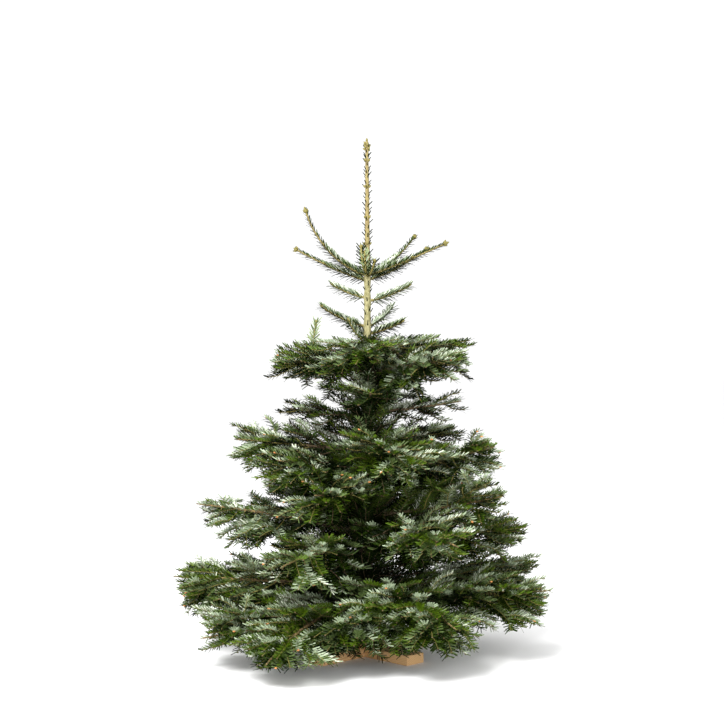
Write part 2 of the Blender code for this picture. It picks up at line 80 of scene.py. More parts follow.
# The frame's own rule for its tiers and boughs, repeated.
GAP = 0.0003
TREE_HEIGHT = 1.500
BOARD_LENGTH = 0.400
BOARD_WIDTH = 0.070
BOARD_HEIGHT = 0.028
BOARD_TURN = math.radians(45)
BRACE_LENGTH = 0.075
BRACE_HEIGHT = 0.060
BRACE_WIDTH = 0.024
BRACE_TOE = 0.012
BRACE_TOP = 0.030
TRUNK_FOOT = BOARD_HEIGHT + GAP
TRUNK_FOOT_RADIUS = 0.0245
TRUNK_TIP_RADIUS = 0.0045
TRUNK_TAPER_POWER = 1.3
ROOT_FLARE = 0.0030
ROOT_FLARE_HEIGHT = 0.035
TRUNK_LEAN_RIGHT = 0.0070
TRUNK_LEAN_FRONT = 0.0030
TRUNK_BEND = 2.3
AXIS_STEPS = 16
BOUGH_LEAST_RADIUS = 0.0035
BOUGH_RADIUS_GAIN = 0.0105
BOUGH_TIP_RADIUS = 0.0020
HEIGHT_JITTER = 0.0015
RISE_JITTER = 3.0
SWEEP_JITTER = 7.0
BOUGH_SEED = 101
LATERAL_ANGLE = 47.0
LATERAL_ANGLE_JITTER = 5.0
LATERAL_SHARE = 0.58
LATERAL_LEAST = 0.055
LATERAL_LENGTH_JITTER = 0.1
SHADE_AT_TRUNK = 0.30
SHADE_GAIN = 1.1
LATERAL_PITCHES = (22.0, -20.0, -6.0, 28.0)
RISER_PITCHES = (44.0, -40.0)
RISER_SHARE = 0.72
RISER_TURN = 9.0
LATERAL_SINK = 0.002
LATERAL_STAGGER = 0.008
LATERAL_DROOP = 4.0
LATERAL_BEND = 0.10
SHORTER_TRIES = (1.0, 0.78, 0.58)
MOST_SECTOR = 40.0
SECTOR_OVERLAP = 8.0

# How the rule is carried on to finer twigs.
GROWTH_SEED = 4000
TIP_BACKOFF = 0.022
YEAR_LENGTH = 0.068
SIDE_SHARE = 0.84
FINER_ANGLE = 42.0
TWIG_LEAST = 0.050
MOST_ORDER = 3
FILL_LEVELLING = 0.36
LAST_FILL = 0.84
FILL_END = 0.92
END_SHOOTS_FROM = 0.62
RISER_CHANCE = 0.80
TRUNK_TWIGS = 360
SECTOR_SLACK = 6.0
LEAST_HEIGHT = 0.048
HANG_BELOW_TIP = 0.008
ENVELOPE_FOOT = 0.60
ENVELOPE_SLOPE = 0.36
NEAR_TRUNK = 0.06
NEARLY_UPRIGHT = 0.95
GOLDEN_ANGLE = 137.5
GOLDEN_SHARE = 0.381966

COMB_REACH = 0.0275
BRUSH_REACH = 0.0210
COMB_LEAN = 72.0
BRUSH_LEAN = 68.0
TIP_REACH = 0.92
TIP_CLOSING = 0.30
NEEDLE_WIDTH = 0.0033
KEELED_TRIANGLES = 5
PLAIN_TRIANGLES = 2
NEEDLE_TRIANGLES = 780000
KEELED_FROM = 0.70
# Twigs less than this share of the way out and below DARK_BELOW get the darkest bark, painted shade;
# DARK_BELOW also bounds the flat needles.
PAINTED_SHADE_WITHIN = 0.62
DARK_BELOW = 0.9
MOST_BARE = 0.6
OUTER_FROM = 0.72
INNER_DENSITY = 0.86
OUTER_DENSITY = 1.00
NEEDLE_FLOOR = 0.002
COMB_TURN = 96.0
COMB_FAN = 44.0
BRUSH_SPREAD = 122.0
BUD_LENGTH = 0.0085
BUD_WIDTH = 0.0060


def linear(*screen: int) -> Colour:
    """A screen colour of 0 to 255 as the shader's linear one."""
    shares = [value / 255 for value in screen]
    return tuple(share / 12.92 if share <= 0.04045 else ((share + 0.055) / 1.055) ** 2.4 for share in shares)


def blend(ends: Pair, share: float) -> float:
    """The number a share of the way from one end to the other."""
    return ends[0] + (ends[1] - ends[0]) * share


# ---- node trees


def operator(operation: str, mirrored: bool = False) -> Callable[["Wire", "Wire | float"], "Wire"]:
    """Makes an operator of wires, which adds a maths node.

    Args:
        operation: the node's operation.
        mirrored: whether the wire itself comes second, as in 1 - wire.

    Returns:
        The operator's method.
    """
    def method(self: "Wire", other: "Wire | float") -> "Wire":
        """Adds the node."""
        return self.joined(operation, *((other, self) if mirrored else (self, other)))
    return method


class Wire:
    """A number that flows through a node tree. Python's operators on it add Math nodes."""

    kind = "ShaderNodeMath"
    __add__, __radd__ = operator("ADD"), operator("ADD", True)
    __sub__, __rsub__ = operator("SUBTRACT"), operator("SUBTRACT", True)
    __mul__, __rmul__ = operator("MULTIPLY"), operator("MULTIPLY", True)
    __truediv__, __pow__ = operator("DIVIDE"), operator("POWER")

    def __init__(self, graph: "Graph", node: Node, output: int | str = 0) -> None:
        """Wraps one output of a graph's node."""
        self.graph, self.socket = graph, node.outputs[output]

    def joined(self, operation: str, *ends: "Wire | float") -> "Wire":
        """The result of a maths node with these inputs."""
        node = self.graph.add(self.kind, {"operation": operation}, dict(enumerate(ends)))
        return type(self)(self.graph, node)

    def math(self, operation: str, *others: "Wire | float") -> "Wire":
        """The result of a maths node of this wire and others."""
        return self.joined(operation, self, *others)

    def clamped(self) -> "Wire":
        """This wire kept between 0 and 1."""
        return self.math("MAXIMUM", 0.0).math("MINIMUM", 1.0)

    def between(self, low: float, high: float) -> "Wire":
        """0 below low, 1 above high and even in between."""
        return ((self - low) / (high - low)).clamped()


class Arrow(Wire):
    """A vector that flows through a node tree. Python's operators on it add Vector Math nodes."""

    kind = "ShaderNodeVectorMath"

    def __mul__(self, other: Wire | float) -> "Arrow":
        """This vector scaled by a number."""
        node = self.graph.add(self.kind, {"operation": "SCALE"}, {0: self, "Scale": other})
        return Arrow(self.graph, node)

    __rmul__ = __mul__

    def cross(self, other: "Arrow") -> "Arrow":
        """The cross product of this vector and another."""
        return self.math("CROSS_PRODUCT", other)

    def normalized(self) -> "Arrow":
        """This vector at a length of 1."""
        return self.math("NORMALIZE")


class Graph:
    """Adds nodes to one node tree."""

    def __init__(self, tree: bpy.types.NodeTree) -> None:
        """Works on a shader's or a modifier's tree."""
        self.tree = tree

    def add(self, kind: str, settings: dict[str, Setting] | None = None,
            sockets: dict[int | str, Setting] | None = None) -> Node:
        """Adds one node of any kind.

        Args:
            kind: the node's type.
            settings: its own settings, set first.
            sockets: values, wires or nodes for its inputs, by index or name.

        Returns:
            The node.
        """
        node = self.tree.nodes.new(kind)
        for name, value in (settings or {}).items():
            setattr(node, name, value)
        for key, value in (sockets or {}).items():
            self.feed(node.inputs[key], value)
        return node

    def feed(self, socket: bpy.types.NodeSocket, value: Setting) -> None:
        """Links a wire or a node's first output to an input, or sets the input's own value.

        Args:
            socket: the input.
            value: what it gets.
        """
        if isinstance(value, Node):
            value = Wire(self, value)
        if isinstance(value, Wire):
            self.tree.links.new(value.socket, socket)
        else:
            socket.default_value = value

    def split(self, vector: Wire) -> list[Wire]:
        """The X, Y and Z of a vector."""
        node = self.add("ShaderNodeSeparateXYZ", {}, {0: vector})
        return [Wire(self, node, k) for k in range(3)]

    def combined(self, *parts: Wire | float) -> Node:
        """A vector of an X, a Y and a Z."""
        return self.add("ShaderNodeCombineXYZ", {}, dict(enumerate(parts)))

    def mix(self, share: Wire | float, *ends: Wire | Colour) -> Wire:
        """The mix of two colours: the first where the share is 0, the second where it is 1."""
        sockets = {k: end if isinstance(end, Wire) else (*end, 1.0) for k, end in zip((6, 7), ends)}
        return Wire(self, self.add("ShaderNodeMix", {"data_type": "RGBA"}, {0: share, **sockets}), 2)

    def noise(self, where: Wire, scale: float, detail: float = 3.0, rough: float = 0.55) -> Wire:
        """Cloudy noise between 0 and 1, with features about 1 / scale metres wide."""
        sockets = {"Vector": where, "Scale": scale, "Detail": detail, "Roughness": rough}
        return Wire(self, self.add("ShaderNodeTexNoise", {}, sockets))

    def place(self, turn: float = 0.0, scale: Point = (1, 1, 1)) -> Arrow:
        """Object coordinates, turned about +Z and stretched."""
        sockets = {0: Wire(self, self.add("ShaderNodeTexCoord"), "Object"), 2: (0, 0, -turn), 3: scale}
        return Arrow(self, self.add("ShaderNodeMapping", {}, sockets))


class ShaderWork(Graph):
    """A Principled material and the graph that paints it."""

    def __init__(self, name: str) -> None:
        """Makes an empty Principled material.

        Args:
            name: the material's name.
        """
        self.material = bpy.data.materials.new(name)
        self.material.use_nodes = True
        super().__init__(self.material.node_tree)

    def paint(self, **inputs: Wire | float | Colour) -> Material:
        """Sets or links the shader's inputs.

        Args:
            inputs: what goes into base_color, roughness, normal and so on.

        Returns:
            The material.
        """
        shader = self.tree.nodes["Principled BSDF"]
        sockets = {socket.name.lower().replace(" ", "_"): socket for socket in shader.inputs}
        for name, value in inputs.items():
            self.feed(sockets[name], (*value, 1.0) if isinstance(value, tuple) else value)
        return self.material

    def bump(self, height: Wire, depth: float) -> Wire:
        """The normal of a relief of some depth in metres, from a height between 0 and 1."""
        sockets = {"Height": height, "Distance": depth, "Strength": 1.0}
        return Wire(self, self.add("ShaderNodeBump", {}, sockets), "Normal")


# ---- finishes


@dataclass(frozen=True)
class NeedleColour:
    """The two sides of one shade of needle, in plain colours."""

    upper: Colour
    under: Colour
    shine: float = 0.25
    roughness: Pair = (0.40, 0.60)

    def sides(self, name: str) -> list[Material]:
        """The materials of the upper and the under side."""
        sides = zip(("upper", "under"), (self.upper, self.under), self.roughness)
        return [ShaderWork(f"{name}_{side}").paint(base_color=colour, roughness=rough,
                                                   specular_ior_level=self.shine)
                for side, colour, rough in sides]


@dataclass(frozen=True)
class StemColour:
    """A plain shade of twig bark or bud, with fine grain in its relief."""

    colour: Colour
    roughness: float = 0.6
    grain: float = 900.0
    grain_depth: float = 0.0003

    def sides(self, name: str) -> list[Material]:
        """The one material of all its sides."""
        work = ShaderWork(name)
        return [work.paint(base_color=self.colour, roughness=self.roughness,
                           normal=work.bump(work.noise(work.place(), self.grain), self.grain_depth))]


class Shade(Enum):
    """Finishes of one kind, dealt out by number."""

    @property
    def place(self) -> float:
        """The shade's number among all of its kind."""
        return float(list(type(self)).index(self))

    @classmethod
    def materials(cls, kind: str) -> list[list[Material]]:
        """The materials of each shade's sides, in order."""
        return [shade.value.sides(f"{kind}_{shade.name.lower()}") for shade in cls]


class Tone(Shade):
    """The shades of needle, dealt out by spray."""

    # DEEP is near black: the painted shade of the tree's inside and of needles below their twigs, and the
    # leader's dark needles.
    DEEP = NeedleColour(linear(6, 15, 1), linear(14, 25, 4), 0.06)
    MID = NeedleColour(linear(30, 46, 4), linear(54, 72, 20), 0.16)
    FRESH = NeedleColour(linear(64, 86, 8), linear(92, 110, 30))
    GREY = NeedleColour(linear(72, 88, 46), linear(126, 140, 100))
    SILVER = NeedleColour(linear(138, 152, 124), linear(206, 212, 192))

    @property
    def shade(self) -> "Tone":
        """The darker shade painted on the needles at a twig's sides and below it: painted shade."""
        return {Tone.SILVER: Tone.GREY, Tone.FRESH: Tone.MID}.get(self, Tone.DEEP)


class Stem(Shade):
    """The shades of twig, from this year's to the oldest."""

    STRAW = StemColour(linear(122, 110, 60))
    YOUNG = StemColour(linear(122, 112, 58))
    TAN = StemColour(linear(102, 86, 50))
    OLD = StemColour(linear(84, 68, 46), 0.75)


class Bud(Shade):
    """The shades of winter bud."""

    ORANGE = StemColour(linear(178, 118, 64), 0.45, 1500.0)
    OLIVE = StemColour(linear(106, 98, 40), 0.6, 1500.0)
    BROWN = StemColour(linear(86, 72, 38), 0.6, 1500.0)


@dataclass(frozen=True)
class BarkFinish:
    """Bark that turns from grey-brown at the foot to green-cream and then straw yellow at the leader."""

    name: str = "trunk_bark"
    pale: tuple[Colour, ...] = (linear(98, 82, 64), linear(158, 152, 112), linear(128, 116, 64))
    dark: tuple[Colour, ...] = (linear(52, 42, 32), linear(96, 92, 54), linear(100, 84, 44))
    middle: Pair = (0.55, 0.95)
    leader: Pair = (1.08, 1.22)
    plate_scale: float = 130.0
    fleck_scale: float = 420.0
    relief: float = 0.0011

    def material(self) -> Material:
        """Paints the trunk, graded by height.

        Returns:
            The material.
        """
        work = ShaderWork(self.name)
        where = work.place()
        height = work.split(where)[2]
        wander = work.noise(where, 9.0) * 0.12 - 0.06
        up_middle = (height + wander).between(*self.middle)
        up_leader = (height + wander * 0.4).between(*self.leader)
        plates = work.noise(work.place(scale=(1, 1, 0.45)), self.plate_scale, 5.0, 0.6)
        flecks = work.noise(work.place(scale=(1, 1, 2.2)), self.fleck_scale, 2.0)
        patch = (plates * 0.75 + flecks * 0.35).between(0.42, 0.68)
        pale, dark = [work.mix(up_leader, work.mix(up_middle, foot, middle), leader)
                      for foot, middle, leader in (self.pale, self.dark)]
        return work.paint(base_color=work.mix(patch, dark, pale),
                          roughness=0.88 - up_leader * 0.3 + patch * 0.05,
                          normal=work.bump(plates * 0.7 + flecks * 0.3, self.relief))


@dataclass(frozen=True)
class BoughFinish:
    """The thinner, smoother bark of the boughs, browner near the trunk than towards their tips."""

    name: str = "bough_bark"
    near: Colour = linear(92, 74, 52)
    far: Colour = linear(132, 110, 66)
    crack: Colour = linear(46, 36, 26)
    fade: Pair = (0.10, 0.34)
    roughness: float = 0.82
    relief: float = 0.0008

    def material(self) -> Material:
        """Paints the boughs, graded by how far out from the trunk a point is.

        Returns:
            The material.
        """
        work = ShaderWork(self.name)
        where = work.place()
        x, y, _ = work.split(where)
        away = (x * x + y * y).math("SQRT")
        grain = work.noise(where, 260.0, 4.0, 0.6)
        skin = work.mix(away.between(*self.fade), self.near, self.far)
        return work.paint(base_color=work.mix(grain.between(0.36, 0.58), self.crack, skin),
                          roughness=self.roughness, normal=work.bump(grain, self.relief))


@dataclass(frozen=True)
class TimberFinish:
    """Sawn softwood: growth rings about a pith line, so the grain runs on round to the ends."""

    name: str
    turn: float
    pith: Pair = (0.055, -0.030)
    early: Colour = linear(206, 168, 118)
    late: Colour = linear(160, 112, 66)
    grime: Colour = linear(120, 92, 62)
    ring_width: float = 0.0042
    relief: float = 0.0005

    def material(self) -> Material:
        """Paints a piece whose length lies at this turn about +Z.

        Returns:
            The material.
        """
        work = ShaderWork(self.name)
        along = work.place(self.turn)
        slow = work.noise(work.place(self.turn, (0.22, 1, 1)), 14.0) - 0.5
        _, y, z = work.split(along)
        across = y - self.pith[0] + slow * 0.030
        above = z - self.pith[1] + slow * 0.018
        ring = ((across * across + above * above).math("SQRT") / self.ring_width).math("FRACT")
        late_wood = (ring ** 3.0) * 0.85
        fibre = work.noise(work.place(self.turn, (0.06, 1, 1)), 900.0)
        wood = work.mix((late_wood + (fibre - 0.5) * 0.5).clamped(), self.early, self.late)
        stain = work.noise(along, 26.0, 4.0).between(0.56, 0.80) * 0.55
        return work.paint(base_color=work.mix(stain, wood, self.grime), roughness=0.68 + fibre * 0.18,
                          normal=work.bump(late_wood * 0.5 + fibre * 0.5, self.relief))


@dataclass(frozen=True)
class SteelFinish:
    """Zinc-plated screw steel, dull and a little scuffed."""

    name: str = "screw_steel"
    colour: Colour = linear(172, 168, 158)
    scuff: Colour = linear(120, 114, 102)

    def material(self) -> Material:
        """Paints the screws.

        Returns:
            The material.
        """
        work = ShaderWork(self.name)
        marks = work.noise(work.place(), 1400.0)
        return work.paint(base_color=work.mix(marks.between(0.4, 0.7), self.scuff, self.colour),
                          metallic=1.0, roughness=0.34 + marks * 0.25)


# ---- lines and meshes


def heading(azimuth: float, rise: float) -> Vector:
    """The unit vector at an azimuth and an angle above level, both in degrees."""
    a, e = math.radians(azimuth), math.radians(rise)
    return Vector((math.cos(a) * math.cos(e), math.sin(a) * math.cos(e), math.sin(e)))


def outness(point: Vector) -> float:
    """How near a point is to the tree's outside: 0 at the trunk, 1 at the boughs' tips."""
    return min(1.0, math.hypot(point.x, point.y) / (ENVELOPE_FOOT - ENVELOPE_SLOPE * point.z))


def line_length(points: Line) -> float:
    """How long a line is."""
    return sum((b - a).length for a, b in zip(points, points[1:]))


def frames_along(points: Line) -> list[tuple[Vector, Vector, Vector]]:
    """How a line lies at each of its points.

    Args:
        points: the line.

    Returns:
        Its direction, its right side and up at each point, up as near +Z as the line allows.
    """
    frames = []
    for i in range(len(points)):
        tangent = (points[min(i + 1, len(points) - 1)] - points[max(i - 1, 0)]).normalized()
        level = Vector((0, 0, 1)) if abs(tangent.z) < NEARLY_UPRIGHT else Vector((0, 1, 0))
        side = tangent.cross(level).normalized()
        frames.append((tangent, side, side.cross(tangent).normalized()))
    return frames


def bent_line(start: Vector, length: float, ways: list[Pair]) -> Line:
    """A line of even stretches.

    Args:
        start: its first point.
        length: how long it is.
        ways: the azimuth of each stretch and its angle above level, in degrees.

    Returns:
        The line.
    """
    line = [start.copy()]
    for way in ways:
        line.append(line[-1] + length / len(ways) * heading(*way))
    return line


def part_of_line(points: Line, start: float, end: float, stations: int) -> Line:
    """Evenly spaced stations on part of a line.

    Args:
        points: the line, its points evenly spaced.
        start: the first station, as a share of the line.
        end: the last station, as a share of the line.
        stations: how many stations.

    Returns:
        The stations.
    """
    found = []
    for k in range(stations):
        at = (start + (end - start) * k / max(1, stations - 1)) * (len(points) - 1)
        i = max(0, min(int(at), len(points) - 2))
        found.append(points[i].lerp(points[i + 1], at - i))
    return found


def branch_line(points: Line, share: float, turn: float, pitch: float, length: float,
                steps: int = 3, droop: float = LATERAL_DROOP) -> Line:
    """A side twig's line: it leaves its parent at an angle and bends a little towards the tip.

    Args:
        points: the parent's line.
        share: where it leaves, as a share of the parent's line.
        turn: the angle from the parent, in degrees, to its right above 0.
        pitch: the angle above the parent's own plane, in degrees.
        length: how long it is.
        steps: how many stretches its line has.
        droop: how many degrees its pitch falls by its middle, and as much again by its tip.

    Returns:
        Its line.
    """
    at = part_of_line(points, share, share, 1)[0]
    i = min(int(share * (len(points) - 1)), len(points) - 2)
    tangent, side, up = frames_along(points)[i]
    line = [at - LATERAL_SINK * tangent]
    for k in range(steps):
        late = k * 2 / max(1, steps - 1)
        away = math.radians(turn * (1 - LATERAL_BEND * late))
        climb = math.radians(pitch - droop * late)
        level = math.cos(away) * tangent + math.sin(away) * side
        line.append(line[-1] + length / steps * (math.cos(climb) * level + math.sin(climb) * up))
    return line


def new_object(name: str, mesh: Mesh, material: Material | None = None, hidden: bool = False) -> Object:
    """Makes an object at the origin that shows a mesh.

    Args:
        name: the object's name, which the mesh gets too.
        mesh: its mesh.
        material: its one material, unless the mesh has its own.
        hidden: whether it is only a template.

    Returns:
        The object.
    """
    mesh.name = name
    if material is not None:
        mesh.materials.clear()
        mesh.materials.append(material)
    made = bpy.data.objects.new(name, mesh)
    made.hide_render = hidden
    bpy.context.scene.collection.objects.link(made)
    return made


def mesh_from_lists(points: list[Point], faces: list[tuple[int, ...]]) -> Mesh:
    """A mesh from its points and faces.

    Args:
        points: all points.
        faces: the indices of each face's corners, in order.

    Returns:
        The mesh.
    """
    mesh = bpy.data.meshes.new("mesh")
    mesh.from_pydata(points, [], faces)
    mesh.update()
    return mesh


def mesh_from_work(work: bmesh.types.BMesh) -> Mesh:
    """A mesh from a worked shell, its faces turned outwards first.

    Args:
        work: the closed shell, which is freed.

    Returns:
        The mesh.
    """
    bmesh.ops.recalc_face_normals(work, faces=work.faces)
    mesh = bpy.data.meshes.new("mesh")
    work.to_mesh(mesh)
    work.free()
    return mesh


def settled(piece: Object) -> Mesh:
    """The plain mesh that a piece's modifiers leave.

    Args:
        piece: the piece, which is removed with its own mesh.

    Returns:
        The mesh.
    """
    mesh = bpy.data.meshes.new_from_object(piece.evaluated_get(bpy.context.evaluated_depsgraph_get()))
    old = piece.data
    bpy.data.objects.remove(piece)
    bpy.data.meshes.remove(old)
    return mesh


def tube_faces(rings: int, sides: int, first: int = 0) -> list[tuple[int, ...]]:
    """The faces of a closed tube whose rings follow one another in a list of points.

    Args:
        rings: how many rings.
        sides: how many points each ring has.
        first: the index of the first ring's first point.

    Returns:
        Its faces, turned outwards, both ends closed.
    """
    faces = []
    for r in range(rings - 1):
        low, high = first + r * sides, first + (r + 1) * sides
        faces += [(low + k, low + (k + 1) % sides, high + (k + 1) % sides, high + k) for k in range(sides)]
    faces.append(tuple(first + sides - 1 - k for k in range(sides)))
    faces.append(tuple(first + (rings - 1) * sides + k for k in range(sides)))
    return faces


def publish(piece: Object, replaced: list[str] | None = None) -> None:
    """Lets a finished piece ride on the tree's body and reports it.

    Args:
        piece: the piece, in place.
        replaced: the frame's nodes that it stands for.
    """
    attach(piece, BODY)
    if replaced:
        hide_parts(*replaced)
    triangles = sum(len(face.vertices) - 2 for face in piece.data.polygons)
    log.info("%s: %d triangles, stands for %d nodes", piece.name, triangles, len(replaced or ()))


# ---- tiers and boughs


class Place(NamedTuple):
    """Where one bough of a tier stands.

    azimuth: where it points, in degrees from +X towards +Y.
    length: how long it is, from the trunk's middle to its tip.
    above: how much higher than its tier it leaves the trunk.
    lift: degrees added to its tier's own rise at its tip.
    """

    azimuth: float
    length: float
    above: float
    lift: float


@dataclass(frozen=True)
class Tier:
    """The boughs that leave the trunk near one height, as the frame has them.

    rise: the angle above level at the trunk and at the tip, in degrees.
    years: how many years the boughs have grown.
    limb_share: the bare share of the length that is a limb of its own.
    """

    name: str
    height: float
    rise: Pair
    years: int
    limb_share: float
    boughs: tuple[Place, ...]

    def sector(self, index: int) -> Pair:
        """How far to each side of a bough its foliage keeps: a little past halfway to the next bough.

        Args:
            index: the bough's place in the tier.

        Returns:
            The angles to its right and to its left, in degrees.
        """
        own = self.boughs[index].azimuth
        turns = [(place.azimuth - own) % 360 for place in self.boughs if place is not self.boughs[index]]
        left, right = min(turns, default=360), 360 - max(turns, default=0)
        return tuple(min(MOST_SECTOR, gap / 2 + SECTOR_OVERLAP) for gap in (right, left))


TIERS = (
    Tier("crown", 1.092, (18, 42), 1, 0.0, (
        Place(193, 0.272, 0.0065, 33), Place(168, 0.237, -0.0065, -13), Place(46, 0.245, 0.0065, 4),
        Place(17, 0.208, -0.0065, -8), Place(344, 0.250, 0.0065, -18))),
    Tier("high_spur", 1.030, (12, 28), 1, 0.0, (Place(172, 0.115, 0.004, 0), Place(8, 0.138, -0.004, 2))),
    Tier("low_spur", 0.940, (12, 30), 1, 0.0, (
        Place(188, 0.150, 0.012, 4), Place(128, 0.115, -0.012, 6), Place(50, 0.130, 0.012, 14),
        Place(342, 0.115, -0.012, -2))),
    Tier("top", 0.846, (10, 6), 3, 0.0, (
        Place(176, 0.285, -0.027, 0), Place(262, 0.290, 0.018, -8), Place(322, 0.300, -0.032, 2),
        Place(22, 0.315, 0.020, -4), Place(98, 0.290, -0.020, 0))),
    Tier("upper_between", 0.715, (4, 14), 2, 0.0, (
        Place(168, 0.265, -0.025, -5), Place(272, 0.250, 0.025, -4), Place(4, 0.295, -0.015, -2),
        Place(67, 0.265, 0.025, 4))),
    Tier("middle", 0.556, (7, 4), 3, 0.0, (
        Place(180, 0.405, 0.030, 0), Place(230, 0.400, -0.030, 6), Place(284, 0.390, 0.030, -4),
        Place(348, 0.400, -0.026, 12), Place(52, 0.390, 0.030, 2), Place(116, 0.380, -0.030, 2))),
    Tier("lower_between", 0.430, (6, 8), 3, 0.0, (
        Place(248, 0.390, 0.030, -4), Place(336, 0.445, -0.030, 8), Place(40, 0.400, 0.030, 4),
        Place(136, 0.400, -0.030, 2))),
    Tier("broad", 0.320, (14, 4), 4, 0.17, (
        Place(180, 0.520, 0.030, 0), Place(240, 0.470, -0.030, -14), Place(302, 0.480, 0.030, -16),
        Place(4, 0.500, -0.030, 2), Place(92, 0.500, 0.030, 0))),
    Tier("ground", 0.170, (5, -3), 4, 0.17, (
        Place(178, 0.580, 0.020, 4), Place(241, 0.560, -0.020, -20), Place(300, 0.500, 0.020, -12),
        Place(350, 0.555, -0.012, 6), Place(24, 0.580, 0.020, 6), Place(98, 0.545, -0.016, -5))),
    Tier("lowest", 0.122, (-2, -8), 3, 0.0, (Place(208, 0.530, 0.0, 2),)),
)


@dataclass
class TrunkLine:
    """Where the trunk's middle and surface are at each height."""

    foot: float = TRUNK_FOOT
    top: float = TREE_HEIGHT
    foot_radius: float = TRUNK_FOOT_RADIUS
    tip_radius: float = TRUNK_TIP_RADIUS

    def radius(self, height: float) -> float:
        """The trunk's radius at a height above the floor.

        Args:
            height: the height.

        Returns:
            The radius there.
        """
        up = max(0.0, min(1.0, (height - self.foot) / (self.top - self.foot)))
        taper = (self.foot_radius - self.tip_radius) * (1 - up) ** TRUNK_TAPER_POWER
        return self.tip_radius + taper + ROOT_FLARE * math.exp(-(height - self.foot) / ROOT_FLARE_HEIGHT)

    def centre(self, height: float) -> Vector:
        """The trunk's middle at a height above the floor."""
        bend = math.sin(TRUNK_BEND * ((height - self.foot) / (self.top - self.foot)))
        return Vector((TRUNK_LEAN_RIGHT * bend, -TRUNK_LEAN_FRONT * bend, height))


@dataclass
class Bough:
    """One bough of a tier: its axis from the trunk to its tip, as the frame has it."""

    tier: Tier
    index: int
    seed: int
    trunk: TrunkLine
    dice: random.Random = field(init=False)
    axis: Line = field(init=False)

    def __post_init__(self) -> None:
        """Draws the bough's own height, lift and sweep, and lays out its axis."""
        self.dice = random.Random(self.seed)
        rise, place = self.tier.rise, self.place
        height = self.tier.height + place.above + HEIGHT_JITTER * self.dice.uniform(-1, 1)
        lift = place.lift + RISE_JITTER * self.dice.uniform(-1, 1)
        sweep = SWEEP_JITTER * self.dice.uniform(-1, 1)
        ways = []
        for k in range(AXIS_STEPS):
            share = (k + 0.5) / AXIS_STEPS
            ways.append((place.azimuth + sweep * (share - 0.5), blend(rise, share) + lift * share))
        self.axis = bent_line(self.trunk.centre(height), self.length, ways)

    @property
    def place(self) -> Place:
        """Where the bough stands in its tier."""
        return self.tier.boughs[self.index]

    @property
    def length(self) -> float:
        """How long the bough is, from the trunk's middle."""
        return self.place.length

    @property
    def label(self) -> str:
        """What the frame's nodes of this bough are called after."""
        return f"{self.tier.name}_{self.index + 1}"

    def radius(self, share: float) -> float:
        """How thick the bough is, a share of the way to its tip."""
        root = BOUGH_LEAST_RADIUS + BOUGH_RADIUS_GAIN * self.length
        return BOUGH_TIP_RADIUS + (root - BOUGH_TIP_RADIUS) * (1 - share)

    def holds(self, point: Vector) -> bool:
        """Whether a point is in this bough's own sector round the trunk, and well above the floor unless
        the bough itself hangs down to it.

        Args:
            point: the point.

        Returns:
            Whether the bough holds it.
        """
        if point.z < min(LEAST_HEIGHT, self.axis[-1].z - HANG_BELOW_TIP):
            return False
        if math.hypot(point.x, point.y) < NEAR_TRUNK:
            return True
        turn = math.degrees(math.atan2(point.y, point.x)) - self.place.azimuth
        right, left = self.tier.sector(self.index)
        return -right - SECTOR_SLACK <= (turn + 180) % 360 - 180 <= left + SECTOR_SLACK

    def laterals(self) -> list[tuple[float, float, float, float]]:
        """Lays out the first side twigs as the frame has them.

        Returns:
            (share along the bough, turn, pitch, length) of each.
        """
        found = []
        for year in range(1, self.tier.years):
            share = year / self.tier.years
            for hand in (-1, 1):
                angle = LATERAL_ANGLE + LATERAL_ANGLE_JITTER * self.dice.uniform(-1, 1)
                shade = min(1 - share, SHADE_AT_TRUNK + SHADE_GAIN * share)
                jitter = 1 + LATERAL_LENGTH_JITTER * self.dice.uniform(-1, 1)
                length = self.length * LATERAL_SHARE * shade * jitter
                pitch = LATERAL_PITCHES[len(found) % len(LATERAL_PITCHES)]
                along = share + hand * LATERAL_STAGGER / self.length
                found.append((along, hand * angle, pitch, max(length, LATERAL_LEAST)))
            if year < self.tier.years - 1:
                along = share + 3 * LATERAL_STAGGER / self.length
                pitch = RISER_PITCHES[(self.index + year + 1) % len(RISER_PITCHES)]
                found.append((along, RISER_TURN * self.dice.uniform(-1, 1), pitch, RISER_SHARE * length))
        return found


# ---- twigs


